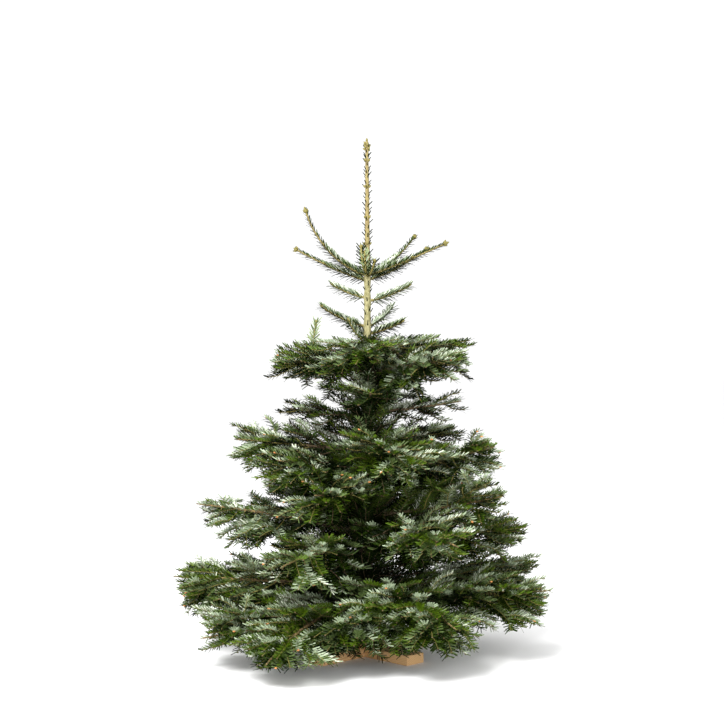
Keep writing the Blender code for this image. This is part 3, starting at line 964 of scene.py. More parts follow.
@dataclass
class Twig:
    """One shoot and how it is clothed.

    line: its line from root to tip.
    tone: its needles' shade.
    stem: its bark's shade.
    radii: its thickness at the root and at the tip, as radii.
    brush: 0 where its needles lie in a flat comb, 1 where they stand out all over its upper side.
    spread: how far round from its top a brush reaches, in degrees.
    reach: how long its needles are at the root and at the tip.
    lean: the angle between the shoot and a needle at its side, in degrees. Where reach or lean isn't
        given, it goes by the brush: a comb's needles are longer and stand out further.
    density: how many needles it has, 1 where they stand closest. Where it isn't given, it goes by how
        far out the twig is.
    bare: the length at its root without needles.
    buds: how many buds it ends in.
    bud: their shade.
    bud_size: how large they are, 1 for the usual size.
    skinned: whether it needs a skin of its own, as it does unless a bough's mesh shows it.
    """

    line: Line
    tone: Tone
    stem: Stem = Stem.YOUNG
    radii: Pair = (0.0016, 0.0011)
    brush: float = 0.4
    spread: float = BRUSH_SPREAD
    reach: Pair | None = None
    lean: float | None = None
    density: float | None = None
    bare: float = 0.004
    buds: int = 1
    bud: Bud = Bud.BROWN
    bud_size: float = 0.76
    skinned: bool = True

    def __post_init__(self) -> None:
        """Fills in the needles' reach, lean and density."""
        if self.reach is None:
            long = blend((COMB_REACH, BRUSH_REACH), self.brush)
            self.reach = (long, TIP_REACH * long)
        if self.lean is None:
            self.lean = blend((COMB_LEAN, BRUSH_LEAN), self.brush)
        if self.density is None:
            self.density = blend((INNER_DENSITY, OUTER_DENSITY), outness(self.line[-1]) ** 2)

    @property
    def bark(self) -> Stem:
        """Its bark's shade: deep inside the tree every twig gets the oldest, darkest bark, painted shade."""
        deep = self.line[-1].z < DARK_BELOW and outness(self.line[-1]) < PAINTED_SHADE_WITHIN
        return Stem.OLD if deep else self.stem

    @property
    def keeled(self) -> bool:
        """Whether its needles have a keel, as all do but those deep inside the tree."""
        return outness(self.line[-1]) > KEELED_FROM or self.line[-1].z > DARK_BELOW

    @property
    def triangles(self) -> float:
        """How many triangles its needles take for each needle's spacing, weighted by its density."""
        return line_length(self.line) * self.density * (KEELED_TRIANGLES if self.keeled else PLAIN_TRIANGLES)

    def traits(self, share: float, clothed: bool) -> dict[str, float]:
        """Tells how it is at one place.

        Args:
            share: the place, as a share of its line.
            clothed: whether to tell about its needles too, and not its bark.

        Returns:
            Each trait's name and value.
        """
        found = {"thickness": blend(self.radii, share), "tone": self.bark.place}
        if clothed:
            # shade: the darker tone painted on the needles at the sides and below, painted shade.
            found |= {"reach": blend(self.reach, share), "brush": self.brush, "spread": self.spread,
                      "lean": self.lean * (1 - TIP_CLOSING * share ** 5), "density": self.density,
                      "keeled": float(self.keeled), "tone": self.tone.place, "shade": self.tone.shade.place}
        return found

    def clothed_line(self) -> Line:
        """The line without the bare stretch at its root."""
        start = min(MOST_BARE, self.bare / max(line_length(self.line), 1e-6))
        return part_of_line(self.line, start, 1.0, max(3, len(self.line)))


SILVERY = ((Tone.SILVER, 0.60), (Tone.GREY, 0.30), (Tone.FRESH, 0.10))
OUTER = ((Tone.SILVER, 0.20), (Tone.GREY, 0.24), (Tone.FRESH, 0.30), (Tone.MID, 0.26))
# Twigs inside the tree and twigs straight from the trunk get darker shades, much of them near-black DEEP:
# painted shade.
INNER_PAINTED_SHADE = ((Tone.MID, 0.38), (Tone.DEEP, 0.30), (Tone.FRESH, 0.22), (Tone.GREY, 0.10))
CORE_PAINTED_SHADE = ((Tone.DEEP, 0.52), (Tone.MID, 0.38), (Tone.FRESH, 0.10))
# The lowest boughs get paler shades, painted light that brightens them in the shade of the tiers above;
# their inner twigs still get darker ones, painted shade.
SKIRT_OUTER_PAINTED_LIGHT = ((Tone.SILVER, 0.20), (Tone.GREY, 0.28), (Tone.FRESH, 0.44), (Tone.MID, 0.08))
SKIRT_INNER_PAINTED_LIGHT = ((Tone.MID, 0.26), (Tone.DEEP, 0.10), (Tone.FRESH, 0.44), (Tone.GREY, 0.20))


def deal(dice: random.Random, shares: tuple[tuple[Tone, float], ...]) -> Tone:
    """Draws one shade by its share.

    Args:
        dice: what draws it.
        shares: each shade and its share.

    Returns:
        The shade.
    """
    roll = dice.random() * sum(share for _, share in shares)
    for tone, share in shares:
        roll -= share
        if roll <= 0:
            return tone
    return shares[-1][0]


@dataclass(frozen=True)
class Fill:
    """The short shoots between the nodes of a bough's axis.

    pitches: how steeply they leave it, in turn, in degrees.
    spacing: how far apart they are.
    length: how long they are, about half way along the bough.
    end_pitches: how steeply the shoots near its tip leave it, which make it end bluntly.
    """

    pitches: tuple[float, ...]
    spacing: float = 0.0088
    length: float = 0.125
    end_pitches: tuple[float, ...] = (24, -24, 10, -12)


FILLS = {
    "top": Fill((8, -4, -36, 0, -22, 12, -48, -14), end_pitches=(8, -34, -4, -24, 2, -46)),
    "upper_between": Fill((24, -4, -28, 10, -44, 18), 0.013, 0.085, ()),
    "middle": Fill((18, -34, 4, -54, 24, -20, -46, 10), 0.0100, end_pitches=(14, -32, 4, -18, 8, -42)),
    "lower_between": Fill((44, 10, -36, 26, -20, 54, -48, 0)),
    "broad": Fill((-4, -40, 8, -58, -22, 16, -34, -64), end_pitches=(0, -14)),
    "ground": Fill((12, -30, 0, -52, 16, -20, -40, -60), 0.0078, 0.160, (8, -20, 0, -14)),
    "lowest": Fill((30, 6, 44, -12, 20, 50, 0, 36)),
}


# (share along the bough, turn, pitch, length) of side twigs that a single bough has besides the rule's.
OWN_TWIGS = {
    ("top", 0): ((0.30, -12, 34, 0.110), (0.42, 16, 36, 0.120), (0.54, -6, 30, 0.100), (0.64, 10, 26, 0.090),
                 (0.58, 8, -34, 0.100), (0.66, -10, -30, 0.085)),
    ("top", 3): ((0.60, 12, -30, 0.110), (0.68, -4, -26, 0.090)),
    ("broad", 0): ((0.38, -14, -36, 0.130), (0.46, 14, -42, 0.120), (0.54, -22, -36, 0.110),
                   (0.60, 24, -32, 0.100)),
    ("ground", 0): ((0.16, 34, 0, 0.340), (0.26, 48, -5, 0.280)),
    ("ground", 5): ((0.16, -36, 0, 0.340), (0.24, -50, -5, 0.300)),
    ("ground", 1): ((0.14, -30, -2, 0.360), (0.22, -46, -8, 0.310), (0.30, -56, -12, 0.260)),
    ("ground", 2): ((0.14, 30, -2, 0.340), (0.22, 46, -8, 0.300), (0.30, 54, -12, 0.250)),
}


# The heights that a tier's twigs keep below, and those that a bough's keep above.
CEILINGS = {"top": 0.926, "broad": 0.445}
FLOORS = {("ground", 3): 0.095, ("ground", 4): 0.095}


# (height, azimuth, rise at the root and at the tip, length, radius, shade) of each shoot that the trunk has
# besides the frame's.
EXTRA_SHOOTS = (
    (1.100, 252, 22, 84, 0.104, 0.0045, Tone.GREY),
    (1.096, 262, 20, 80, 0.090, 0.0040, Tone.SILVER),
    (1.095, 286, 10, 48, 0.085, 0.0036, Tone.GREY),
    (1.085, 150, 30, 36, 0.120, 0.0026, Tone.DEEP),
    (0.898, 222, 30, 58, 0.100, 0.0030, Tone.SILVER),
    (0.868, 184, 4, 16, 0.160, 0.0030, Tone.MID),
)


@dataclass
class BoughGrowth:
    """Carries one bough on into side twigs, finer twigs and short shoots."""

    bough: Bough
    twigs: list[Twig] = field(default_factory=list)
    dice: random.Random = field(init=False)
    young_node: float = 0.56
    young_bare_tip: float = 0.006
    shadow_drop: float = 0.003
    lateral_outer_from: float = 0.75
    lateral_brushes: Pair = (0.15, 0.65)
    own_brushes: Pair = (0.4, 0.9)
    levelling: float = 0.3
    thickness: Pair = (0.0011, 0.0028)
    thickening: float = 0.0085
    least_year: float = 0.8
    year_wander: float = 0.16
    pair_stagger: float = 0.03
    riser_lengths: Pair = (0.055, 0.090)
    finer_lengths: Pair = (0.85, 1.2)
    finer_wander: float = 8.0
    finer_pitches: Pair = (-18, 14)
    finer_brushes: Pair = (-0.1, 0.3)
    bends_twice_from: float = 0.06
    same_tone_chance: float = 0.6
    upright_chance: float = 0.66
    upright_pitches: Pair = (16, 40)
    hanging_pitches: Pair = (-44, -20)
    short_turns: Pair = (-30, 30)
    short_levelling: float = 0.5
    cluster_chance: float = 0.3
    bud_chance: float = 0.5
    end_turns: Pair = (10, 34)
    end_stagger: float = 0.05
    end_brushes: Pair = (0.6, 1.0)
    fill_turns: Pair = (20, 74)
    fill_from: float = 0.035
    fill_at_trunk: float = 1.25
    fill_shortening: float = 0.6
    fill_lengths: Pair = (0.8, 1.25)
    fill_spacings: Pair = (0.8, 1.2)
    fill_wander: float = 8
    fill_brushes: Pair = (0.2, 0.6)
    fill_branching: float = 0.072
    silvery_above: float = 10
    silvery_chance: float = 0.5

    def __post_init__(self) -> None:
        """Seeds the bough's own dice."""
        self.dice = random.Random(GROWTH_SEED + self.bough.seed)

    def grow(self) -> list[Twig]:
        """Grows everything on this bough.

        Returns:
            Its twigs.
        """
        if self.bough.tier.years == 1:
            self.grow_young_shoot()
            return self.twigs
        for stage in (self.grow_axis, self.grow_laterals, self.grow_own_twigs, self.grow_end_shoots,
                      self.grow_short_shoots):
            stage()
        return self.twigs

    def fits(self, line: Line) -> bool:
        """Whether a twig along a line keeps to the bough's own space.

        Args:
            line: the line.

        Returns:
            Whether it does.
        """
        tier = self.bough.tier.name
        floor, ceiling = FLOORS.get((tier, self.bough.index), 0.0), CEILINGS.get(tier, TREE_HEIGHT)
        return all(self.bough.holds(point) and floor < point.z < ceiling for point in line)

    def shares(self, outer: bool) -> tuple[tuple[Tone, float], ...]:
        """Tells the shades of the bough's twigs: the lowest boughs get the palest, painted light, inner
        twigs darker ones, painted shade, and the tier below the top one stands in its shadow, so all its
        twigs get the darker inner ones, painted shade.

        Args:
            outer: whether the twigs are outer ones.

        Returns:
            Each shade and its share.
        """
        if self.bough.tier.name in ("ground", "lowest"):
            return SKIRT_OUTER_PAINTED_LIGHT if outer else SKIRT_INNER_PAINTED_LIGHT
        return OUTER if outer and self.bough.tier.name != "upper_between" else INNER_PAINTED_SHADE

    def grow_young_shoot(self) -> None:
        """A single shoot of the upper crown: long silvery needles below, short ones to its bare tip."""
        bough, length = self.bough, self.bough.length
        crown = bough.tier.name == "crown"
        end = 1 - self.young_bare_tip / length
        node = self.young_node if crown else end
        start = bough.trunk.radius(bough.axis[0].z) / length
        tone = Tone.GREY if crown else deal(self.dice, SILVERY)
        lower = part_of_line(bough.axis, start, node, 7)
        self.twigs.append(Twig(
            lower, tone, Stem.STRAW, (0.0032, 0.0027), brush=0.95, spread=165, reach=(0.033, 0.027),
            lean=50, density=1.35, bare=0.002, buds=0 if crown else 4, bud=Bud.OLIVE, bud_size=1.5))
        # A silver layer on each shoot's upper side, and a little lower a darker MID layer all round it:
        # painted shade.
        for drop, shade, spread in ((0.0, Tone.SILVER, 80), (self.shadow_drop, Tone.MID, 180)):
            line = [point - Vector((0, 0, drop)) for point in lower]
            self.twigs.append(Twig(
                line, shade, radii=(0.0020, 0.0016), brush=0.95, spread=spread, reach=(0.032, 0.025),
                lean=54, density=0.90, bare=0.006, buds=0))
        if not crown:
            return
        upper = part_of_line(bough.axis, node, end, 6)
        self.twigs.append(Twig(
            upper, Tone.MID, Stem.STRAW, (0.0030, 0.0028), brush=1.0, spread=175, reach=(0.022, 0.016),
            lean=48, density=0.90, bare=0.0, buds=5, bud=Bud.OLIVE, bud_size=2.0))
        for hand in (-1, 1):
            bud_line = branch_line(bough.axis, node, hand * 40, 12, 0.008, 2)
            self.twigs.append(Twig(bud_line, tone, Stem.STRAW, density=0.0, bud=Bud.OLIVE, bud_size=1.3))

    def grow_axis(self) -> None:
        """Clothes the bough's own axis, thinly where it is old."""
        bough, last = self.bough, 1 - 1 / self.bough.tier.years
        tone = deal(self.dice, OUTER)
        older = part_of_line(bough.axis, max(bough.tier.limb_share, 0.05), last, 8)
        young = part_of_line(bough.axis, last, 1 - TIP_BACKOFF / bough.length, 7)
        self.twigs.append(Twig(older, tone, Stem.OLD, (0.004, 0.003), brush=0.55, density=0.30, buds=0,
                               skinned=False))
        self.twigs.append(Twig(young, tone, Stem.TAN, (0.0026, 0.0016), brush=0.75, density=0.55,
                               bare=0.0, skinned=False))

    def grow_laterals(self) -> None:
        """The frame's first side twigs, each with finer ones of its own."""
        for share, turn, pitch, length in self.bough.laterals():
            for shorter in SHORTER_TRIES:
                line = branch_line(self.bough.axis, share, turn, pitch, length * shorter - TIP_BACKOFF)
                if all(self.bough.holds(point) for point in line):
                    outer = share + length / self.bough.length > self.lateral_outer_from
                    tone = deal(self.dice, self.shares(outer))
                    self.branch(line, tone, self.dice.uniform(*self.lateral_brushes), 1)
                    break

    def grow_own_twigs(self) -> None:
        """Side twigs that only this bough has, into the space beside it."""
        for share, turn, pitch, length in OWN_TWIGS.get((self.bough.tier.name, self.bough.index), ()):
            line = branch_line(self.bough.axis, share, turn, pitch, length, 5, self.levelling * pitch)
            self.branch(line, deal(self.dice, OUTER), self.dice.uniform(*self.own_brushes), 1)

    def branch(self, line: Line, tone: Tone, brush: float, order: int) -> None:
        """Adds a twig along a line, and pairs of finer ones at its nodes.

        Args:
            line: the twig's line.
            tone: its needles' shade, which its own side twigs mostly share.
            brush: how far its needles stand up.
            order: 1 for a bough's own side twig, more for finer ones.
        """
        length, (thin, thick) = line_length(line), self.thickness
        stem = Stem.TAN if order == 1 else Stem.YOUNG
        self.twigs.append(Twig(line, tone, stem, (min(thin + self.thickening * length, thick), thin), brush))
        if order >= MOST_ORDER:
            return
        years = max(1, round(length / YEAR_LENGTH))
        for year in range(1, years):
            share = (year + self.dice.uniform(-self.year_wander, self.year_wander)) / years
            reach = max(length * SIDE_SHARE * (1 - share), self.least_year * YEAR_LENGTH)
            for hand in (-1, 1):
                self.side_twig(line, share + hand * self.pair_stagger, hand, reach, tone, brush, order)
            if self.dice.random() < RISER_CHANCE:
                self.short_shoot(line, share, self.dice.uniform(*self.riser_lengths))

    def side_twig(self, line: Line, share: float, hand: int, length: float, tone: Tone,
                  brush: float, order: int) -> None:
        """Adds one finer twig to a twig, if it is long enough and keeps to the bough's space.

        Args:
            line: the parent's line.
            share: where it leaves, as a share of that line.
            hand: 1 to the parent's right, -1 to its left.
            length: about how long it is.
            tone: the parent's shade of needle.
            brush: how far the parent's needles stand up.
            order: the parent's order.
        """
        length *= self.dice.uniform(*self.finer_lengths)
        turn = hand * (FINER_ANGLE + self.dice.uniform(-self.finer_wander, self.finer_wander))
        pitch = self.dice.uniform(*self.finer_pitches)
        same = self.dice.random() < self.same_tone_chance
        own_tone = tone if same else deal(self.dice, self.shares(True))
        if length < TWIG_LEAST:
            return
        finer = branch_line(line, share, turn, pitch, length, 3 if length > self.bends_twice_from else 2)
        if self.fits(finer):
            own_brush = min(1.0, brush + self.dice.uniform(*self.finer_brushes))
            self.branch(finer, own_tone, own_brush, order + 1)

    def short_shoot(self, line: Line, share: float, length: float) -> None:
        """Adds a short shoot that stands up from a twig, silvery and brushed, or hangs below it.

        Args:
            line: the parent's line.
            share: where it leaves, as a share of that line.
            length: how long it is.
        """
        up = self.dice.random() < self.upright_chance
        pitch = self.dice.uniform(*(self.upright_pitches if up else self.hanging_pitches))
        turn = self.dice.uniform(*self.short_turns)
        finer = branch_line(line, share, turn, pitch, length, 3, self.short_levelling * pitch)
        if self.fits(finer):
            tone = deal(self.dice, SILVERY if up else self.shares(False))
            self.twigs.append(Twig(finer, tone, brush=0.95 if up else 0.4, **self.tip_buds(tone)))

    def tip_buds(self, tone: Tone) -> dict[str, Bud | float]:
        """Draws a shoot's buds: some silvery shoots end in a cluster of orange ones, others in a plain
        brown one or in none.

        Args:
            tone: the shoot's shade of needle.

        Returns:
            The twig's fields for its buds.
        """
        if tone in (Tone.SILVER, Tone.GREY) and self.dice.random() < self.cluster_chance:
            return {"buds": 3, "bud": Bud.ORANGE, "bud_size": 0.9}
        return {"buds": int(self.dice.random() < self.bud_chance)}

    def grow_end_shoots(self) -> None:
        """Shoots that leave the bough some way before its tip and end level with it."""
        for k, pitch in enumerate(FILLS[self.bough.tier.name].end_pitches):
            share = END_SHOOTS_FROM + self.end_stagger * (k % 3)
            turn = (-1) ** (k // 2) * self.dice.uniform(*self.end_turns)
            own = self.room(share, turn) / math.cos(math.radians(pitch))
            line = branch_line(self.bough.axis, share, turn, pitch, own, 5, self.levelling * pitch)
            if self.fits(line):
                tone = deal(self.dice, self.shares(True))
                self.branch(line, tone, self.dice.uniform(*self.end_brushes), MOST_ORDER - 1)

    def room(self, share: float, turn: float) -> float:
        """How long a level twig can be that leaves the bough's axis at a turn and ends near its tip."""
        return (FILL_END - share) * self.bough.length / math.cos(math.radians(turn))

    def grow_short_shoots(self) -> None:
        """Short shoots between the nodes of the bough's axis, longer near the trunk."""
        length, fill = self.bough.length, FILLS[self.bough.tier.name]
        at, k = max(self.bough.tier.limb_share * length, self.fill_from), 0
        while at < LAST_FILL * length:
            share = at / length
            usual = fill.length * (self.fill_at_trunk - self.fill_shortening * share)
            own = usual * self.dice.uniform(*self.fill_lengths)
            turn = (-1) ** k * self.dice.uniform(*self.fill_turns)
            own = min(own, self.room(share, turn))
            wander = self.dice.uniform(-self.fill_wander, self.fill_wander)
            pitch = fill.pitches[k % len(fill.pitches)] + wander
            line = branch_line(self.bough.axis, share, turn, pitch, own, 4, FILL_LEVELLING * pitch)
            if self.fits(line):
                silvery = pitch > self.silvery_above and self.dice.random() < self.silvery_chance
                tone = deal(self.dice, SILVERY if silvery else self.shares(outness(line[-1]) > OUTER_FROM))
                brush = 0.95 if silvery else self.dice.uniform(*self.fill_brushes)
                if own > self.fill_branching:
                    self.branch(line, tone, brush, MOST_ORDER - 1)
                else:
                    self.twigs.append(Twig(line, tone, brush=brush, **self.tip_buds(tone)))
            at += fill.spacing * self.dice.uniform(*self.fill_spacings)
            k += 1


@dataclass
class TrunkGrowth:
    """The leader's own needles and buds, and short twigs straight from the trunk."""

    trunk: TrunkLine
    dice: random.Random = field(default_factory=lambda: random.Random(GROWTH_SEED))
    stem_from: float = 0.860
    leader_from: float = 1.135
    leader_to: float = 1.478
    bud_clusters: tuple[float, ...] = (1.185, 1.262, 1.352, 1.428)
    twigs_from: float = 0.105
    twigs_to: float = 0.862
    longest: float = 0.200
    shortening: float = 0.130
    length_jitter: Pair = (0.75, 1.2)
    azimuth_wander: float = 12
    rises: Pair = (0, 34)
    low_droop: float = 18
    lift_gain: float = 70
    most_lift: float = 6.0
    silvery_from: float = 0.5
    silvery_chance: float = 0.4
    bud_stub: float = 0.004

    def leader(self) -> list[Twig]:
        """The leading shoot: short sparse needles, bud clusters at its joints and buds round its tip.

        Returns:
            Its twigs.
        """
        found, centre, radius = [], self.trunk.centre, self.trunk.radius
        for low, high, tone, reach, lean, density in (
                (self.leader_from, self.leader_to, Tone.DEEP, (0.017, 0.013), 44, 0.42),
                (self.stem_from, self.leader_from, Tone.MID, (0.022, 0.018), 40, 0.34)):
            line = [centre(low + (high - low) * k / 11) for k in range(12)]
            found.append(Twig(line, tone, Stem.STRAW, (radius(low), radius(high)), 1.0, 180, reach, lean,
                              density, bare=0.0, buds=0, skinned=False))
        buds = []
        for k, height in enumerate(self.bud_clusters):
            for j in range(4):
                out = heading(GOLDEN_ANGLE * k + 90 * j, 40)
                buds.append((centre(height) + out * radius(height) * 0.6, self.bud_stub * out))
        buds.append((centre(TREE_HEIGHT - BUD_LENGTH * 1.5), Vector((0, 0, 0.003))))
        for k in range(10):
            out = heading(40 + GOLDEN_ANGLE * k, 30 + 2 * k)
            buds.append((centre(self.leader_to - 0.018 + 0.002 * k) + 0.002 * out, self.bud_stub * out))
        return found + [Twig([at, at + stub], Tone.MID, Stem.TAN, density=0.0, bud=Bud.OLIVE, bud_size=1.3)
                        for at, stub in buds]

    def extra_shoots(self) -> list[Twig]:
        """The crown's shoots that the frame has no node for: to the front, behind to the left, a silvery
        one in front, one at the left of the top tier, and a thick one that stands up from its end.

        Returns:
            Their twigs.
        """
        found = []
        for height, azimuth, low, high, length, radius, tone in EXTRA_SHOOTS:
            ways = [(azimuth, low + (high - low) * k / 5) for k in range(6)]
            found.append(Twig(bent_line(self.trunk.centre(height), length, ways), tone,
                              radii=(radius, 0.8 * radius), brush=0.95, spread=150, reach=(0.024, 0.020),
                              lean=48, density=1.4, bare=0.010, buds=4, bud=Bud.OLIVE, bud_size=1.4))
        at = found[-1].line[-1] + Vector((0, 0, -0.004))
        line = [at + Vector((0.0004 * k * k, 0, 0.0145 * k)) for k in range(6)]
        found.append(Twig(line, Tone.SILVER, radii=(0.0028, 0.0022), brush=1.0, spread=175,
                          reach=(0.024, 0.021), lean=42, density=1.2, bare=0.0, buds=3, bud=Bud.OLIVE,
                          bud_size=1.3))
        return found

    def short_twigs(self) -> list[Twig]:
        """Short twigs all round the trunk between its tiers.

        Returns:
            The twigs.
        """
        found = []
        for k in range(TRUNK_TWIGS):
            share = (k + 0.5) / TRUNK_TWIGS
            height = self.twigs_from + (self.twigs_to - self.twigs_from) * share
            azimuth = GOLDEN_ANGLE * k + self.dice.uniform(-self.azimuth_wander, self.azimuth_wander)
            length = (self.longest - self.shortening * share) * self.dice.uniform(*self.length_jitter)
            lift = min(self.most_lift, self.lift_gain * share - self.low_droop)
            rise = self.dice.uniform(*self.rises) + lift
            ways = [(azimuth, rise + 4 * j) for j in range(4)]
            silvery = share > self.silvery_from and self.dice.random() < self.silvery_chance
            # Those that aren't silvery get the dark core shades: painted shade.
            tone = deal(self.dice, SILVERY if silvery else CORE_PAINTED_SHADE)
            found.append(Twig(bent_line(self.trunk.centre(height), length, ways), tone,
                              radii=(0.0018, 0.0012), brush=0.7, bare=self.trunk.radius(height)))
        return found


# ---- Geometry Nodes


CARRIED = ("above", "reach", "brush", "spread", "lean", "tone", "shade", "keeled", "density", "thickness",
           "underside", "aim", "size")


class Pattern(Graph):
    """A Geometry Nodes tree with named inputs, and the way to run it on a mesh."""

    def __init__(self, name: str, **inputs: str) -> None:
        """Starts a tree.

        Args:
            name: the tree's name.
            inputs: each named input and its socket's kind.
        """
        super().__init__(bpy.data.node_groups.new(name, "GeometryNodeTree"))
        self.tree.interface.new_socket("Geometry", in_out="OUTPUT", socket_type="NodeSocketGeometry")
        for label, kind in {"Geometry": "Geometry", **inputs}.items():
            self.tree.interface.new_socket(label, in_out="INPUT", socket_type=f"NodeSocket{kind}")
        self.entry = self.add("NodeGroupInput")

    def given(self, label: str) -> Wire:
        """The wire of a named input."""
        return Wire(self, self.entry, label)

    def named(self, label: str, kind: str = "FLOAT", form: type = Wire) -> Wire:
        """A named attribute of the geometry, as a number or as another kind and form of wire."""
        return form(self, self.add("GeometryNodeInputNamedAttribute", {"data_type": kind}, {"Name": label}))

    def chance(self, low: Wire | float, high: Wire | float, seed: int) -> Wire:
        """A random number between low and high for each point, from a fixed seed."""
        sockets = {2: low, 3: high, 8: seed}
        return Wire(self, self.add("FunctionNodeRandomValue", {"data_type": "FLOAT"}, sockets), 1)

    def curves(self) -> Node:
        """The given geometry's lines as curves."""
        return self.add("GeometryNodeMeshToCurve", {}, {"Mesh": self.given("Geometry")})

    def rotation(self, aim: Arrow, face: Arrow) -> Node:
        """The turn that takes +Z to an aim and +X to a facing."""
        return self.add("FunctionNodeAxesToRotation", {"primary_axis": "Z", "secondary_axis": "X"},
                        {"Primary Axis": aim, "Secondary Axis": face})

    def shape(self, label: str) -> Wire:
        """A named input's object as one instance of its geometry."""
        sockets = {"Object": self.given(label), "As Instance": True}
        return Wire(self, self.add("GeometryNodeObjectInfo", {}, sockets), "Geometry")

    def real(self, geometry: Setting) -> Node:
        """A geometry with its instances made real."""
        return self.add("GeometryNodeRealizeInstances", {}, {0: geometry})

    def close(self, geometry: Setting, shades: list[list[Material]]) -> None:
        """Ends the tree and deals out its materials by tone and side.

        Args:
            geometry: what it gives out, with its instances made real.
            shades: the materials of the sides of each tone.
        """
        for tone, sides in enumerate(shades):
            for side, material in enumerate(sides):
                chosen = (self.named("tone").math("COMPARE", float(tone), 0.2)
                          * self.named("underside").math("COMPARE", float(side), 0.2))
                sockets = {"Geometry": geometry, "Selection": chosen, "Material": material}
                geometry = self.add("GeometryNodeSetMaterial", {}, sockets)
        self.add("NodeGroupOutput", {}, {0: geometry})

    def run(self, name: str, carrier: Object, values: dict[str, Setting]) -> Object:
        """Runs the tree on a carrier and keeps the result as a plain mesh.

        Args:
            name: the finished piece's name.
            carrier: the object whose mesh the tree reads; it is removed.
            values: the tree's named inputs.

        Returns:
            The finished piece.
        """
        modifier = carrier.modifiers.new(self.tree.name, "NODES")
        modifier.node_group = self.tree
        for item in self.tree.interface.items_tree:
            if item.in_out == "INPUT" and item.name in values:
                modifier[item.identifier] = values[item.name]
        mesh = settled(carrier)
        for label in [a.name for a in mesh.attributes if a.name in CARRIED]:
            mesh.attributes.remove(mesh.attributes[label])
        return new_object(name, mesh)


def carrier(lines: list[Line], numbers: dict[str, list[float]], arrows: dict[str, Line]) -> Object:
    """Makes a mesh of bare lines that a pattern reads.

    Args:
        lines: each line's points, from root to tip.
        numbers: named values, one for each point of all lines in turn.
        arrows: named vectors, one for each point of all lines in turn.

    Returns:
        The carrier.
    """
    edges, first = [], 0
    for line in lines:
        edges += [(first + k, first + k + 1) for k in range(len(line) - 1)]
        first += len(line)
    mesh = bpy.data.meshes.new("carrier")
    mesh.from_pydata([tuple(point) for line in lines for point in line], edges, [])
    for kind, part, table in (("FLOAT", "value", numbers), ("FLOAT_VECTOR", "vector", arrows)):
        for label, values in table.items():
            flat = np.array([tuple(v) if arrows is table else v for v in values], np.float32).ravel()
            mesh.attributes.new(label, kind, "POINT").data.foreach_set(part, flat)
    return new_object("carrier", mesh)


@dataclass
class Blade:
    """The mesh of one needle, a unit long up +Z: a keeled root that runs out in a blunt flat tip, its
    green side to +X. Without its keel it is flat, for the needles deep inside the tree."""

    bow: float
    keeled: bool = True
    width: float = NEEDLE_WIDTH
    keel: float = 0.0010
    keel_height: float = 0.04
    tip_share: float = 0.72

    def build(self, name: str) -> Object:
        """Builds the needle; its underside faces are marked in an attribute.

        Args:
            name: the template's name.

        Returns:
            The hidden template.
        """
        half, tip = self.width / 2, self.width / 2 * self.tip_share
        points = [(0, -half, 0), (0, half, 0), (self.bow, -tip, 1), (self.bow, tip, 1)]
        faces, under = [(0, 1, 3, 2)], [0.0]
        if self.keeled:
            points.append((-self.keel, 0, self.keel_height))
            faces += [(1, 4, 3), (4, 0, 2), (4, 2, 3)]
            under += [1.0] * 3
        mesh = mesh_from_lists(points, faces)
        mesh.attributes.new("underside", "FLOAT", "FACE").data.foreach_set("value", under)
        return new_object(name, mesh, hidden=True)


class Stance(NamedTuple):
    """How a needle stands.

    aim: where it points.
    face: where its green side faces.
    out: straight out from the twig.
    over: 1 on top of the twig, 0 at its sides and below.
    length: how long it is.
    """

    aim: Arrow
    face: Arrow
    out: Arrow
    over: Wire
    length: Wire


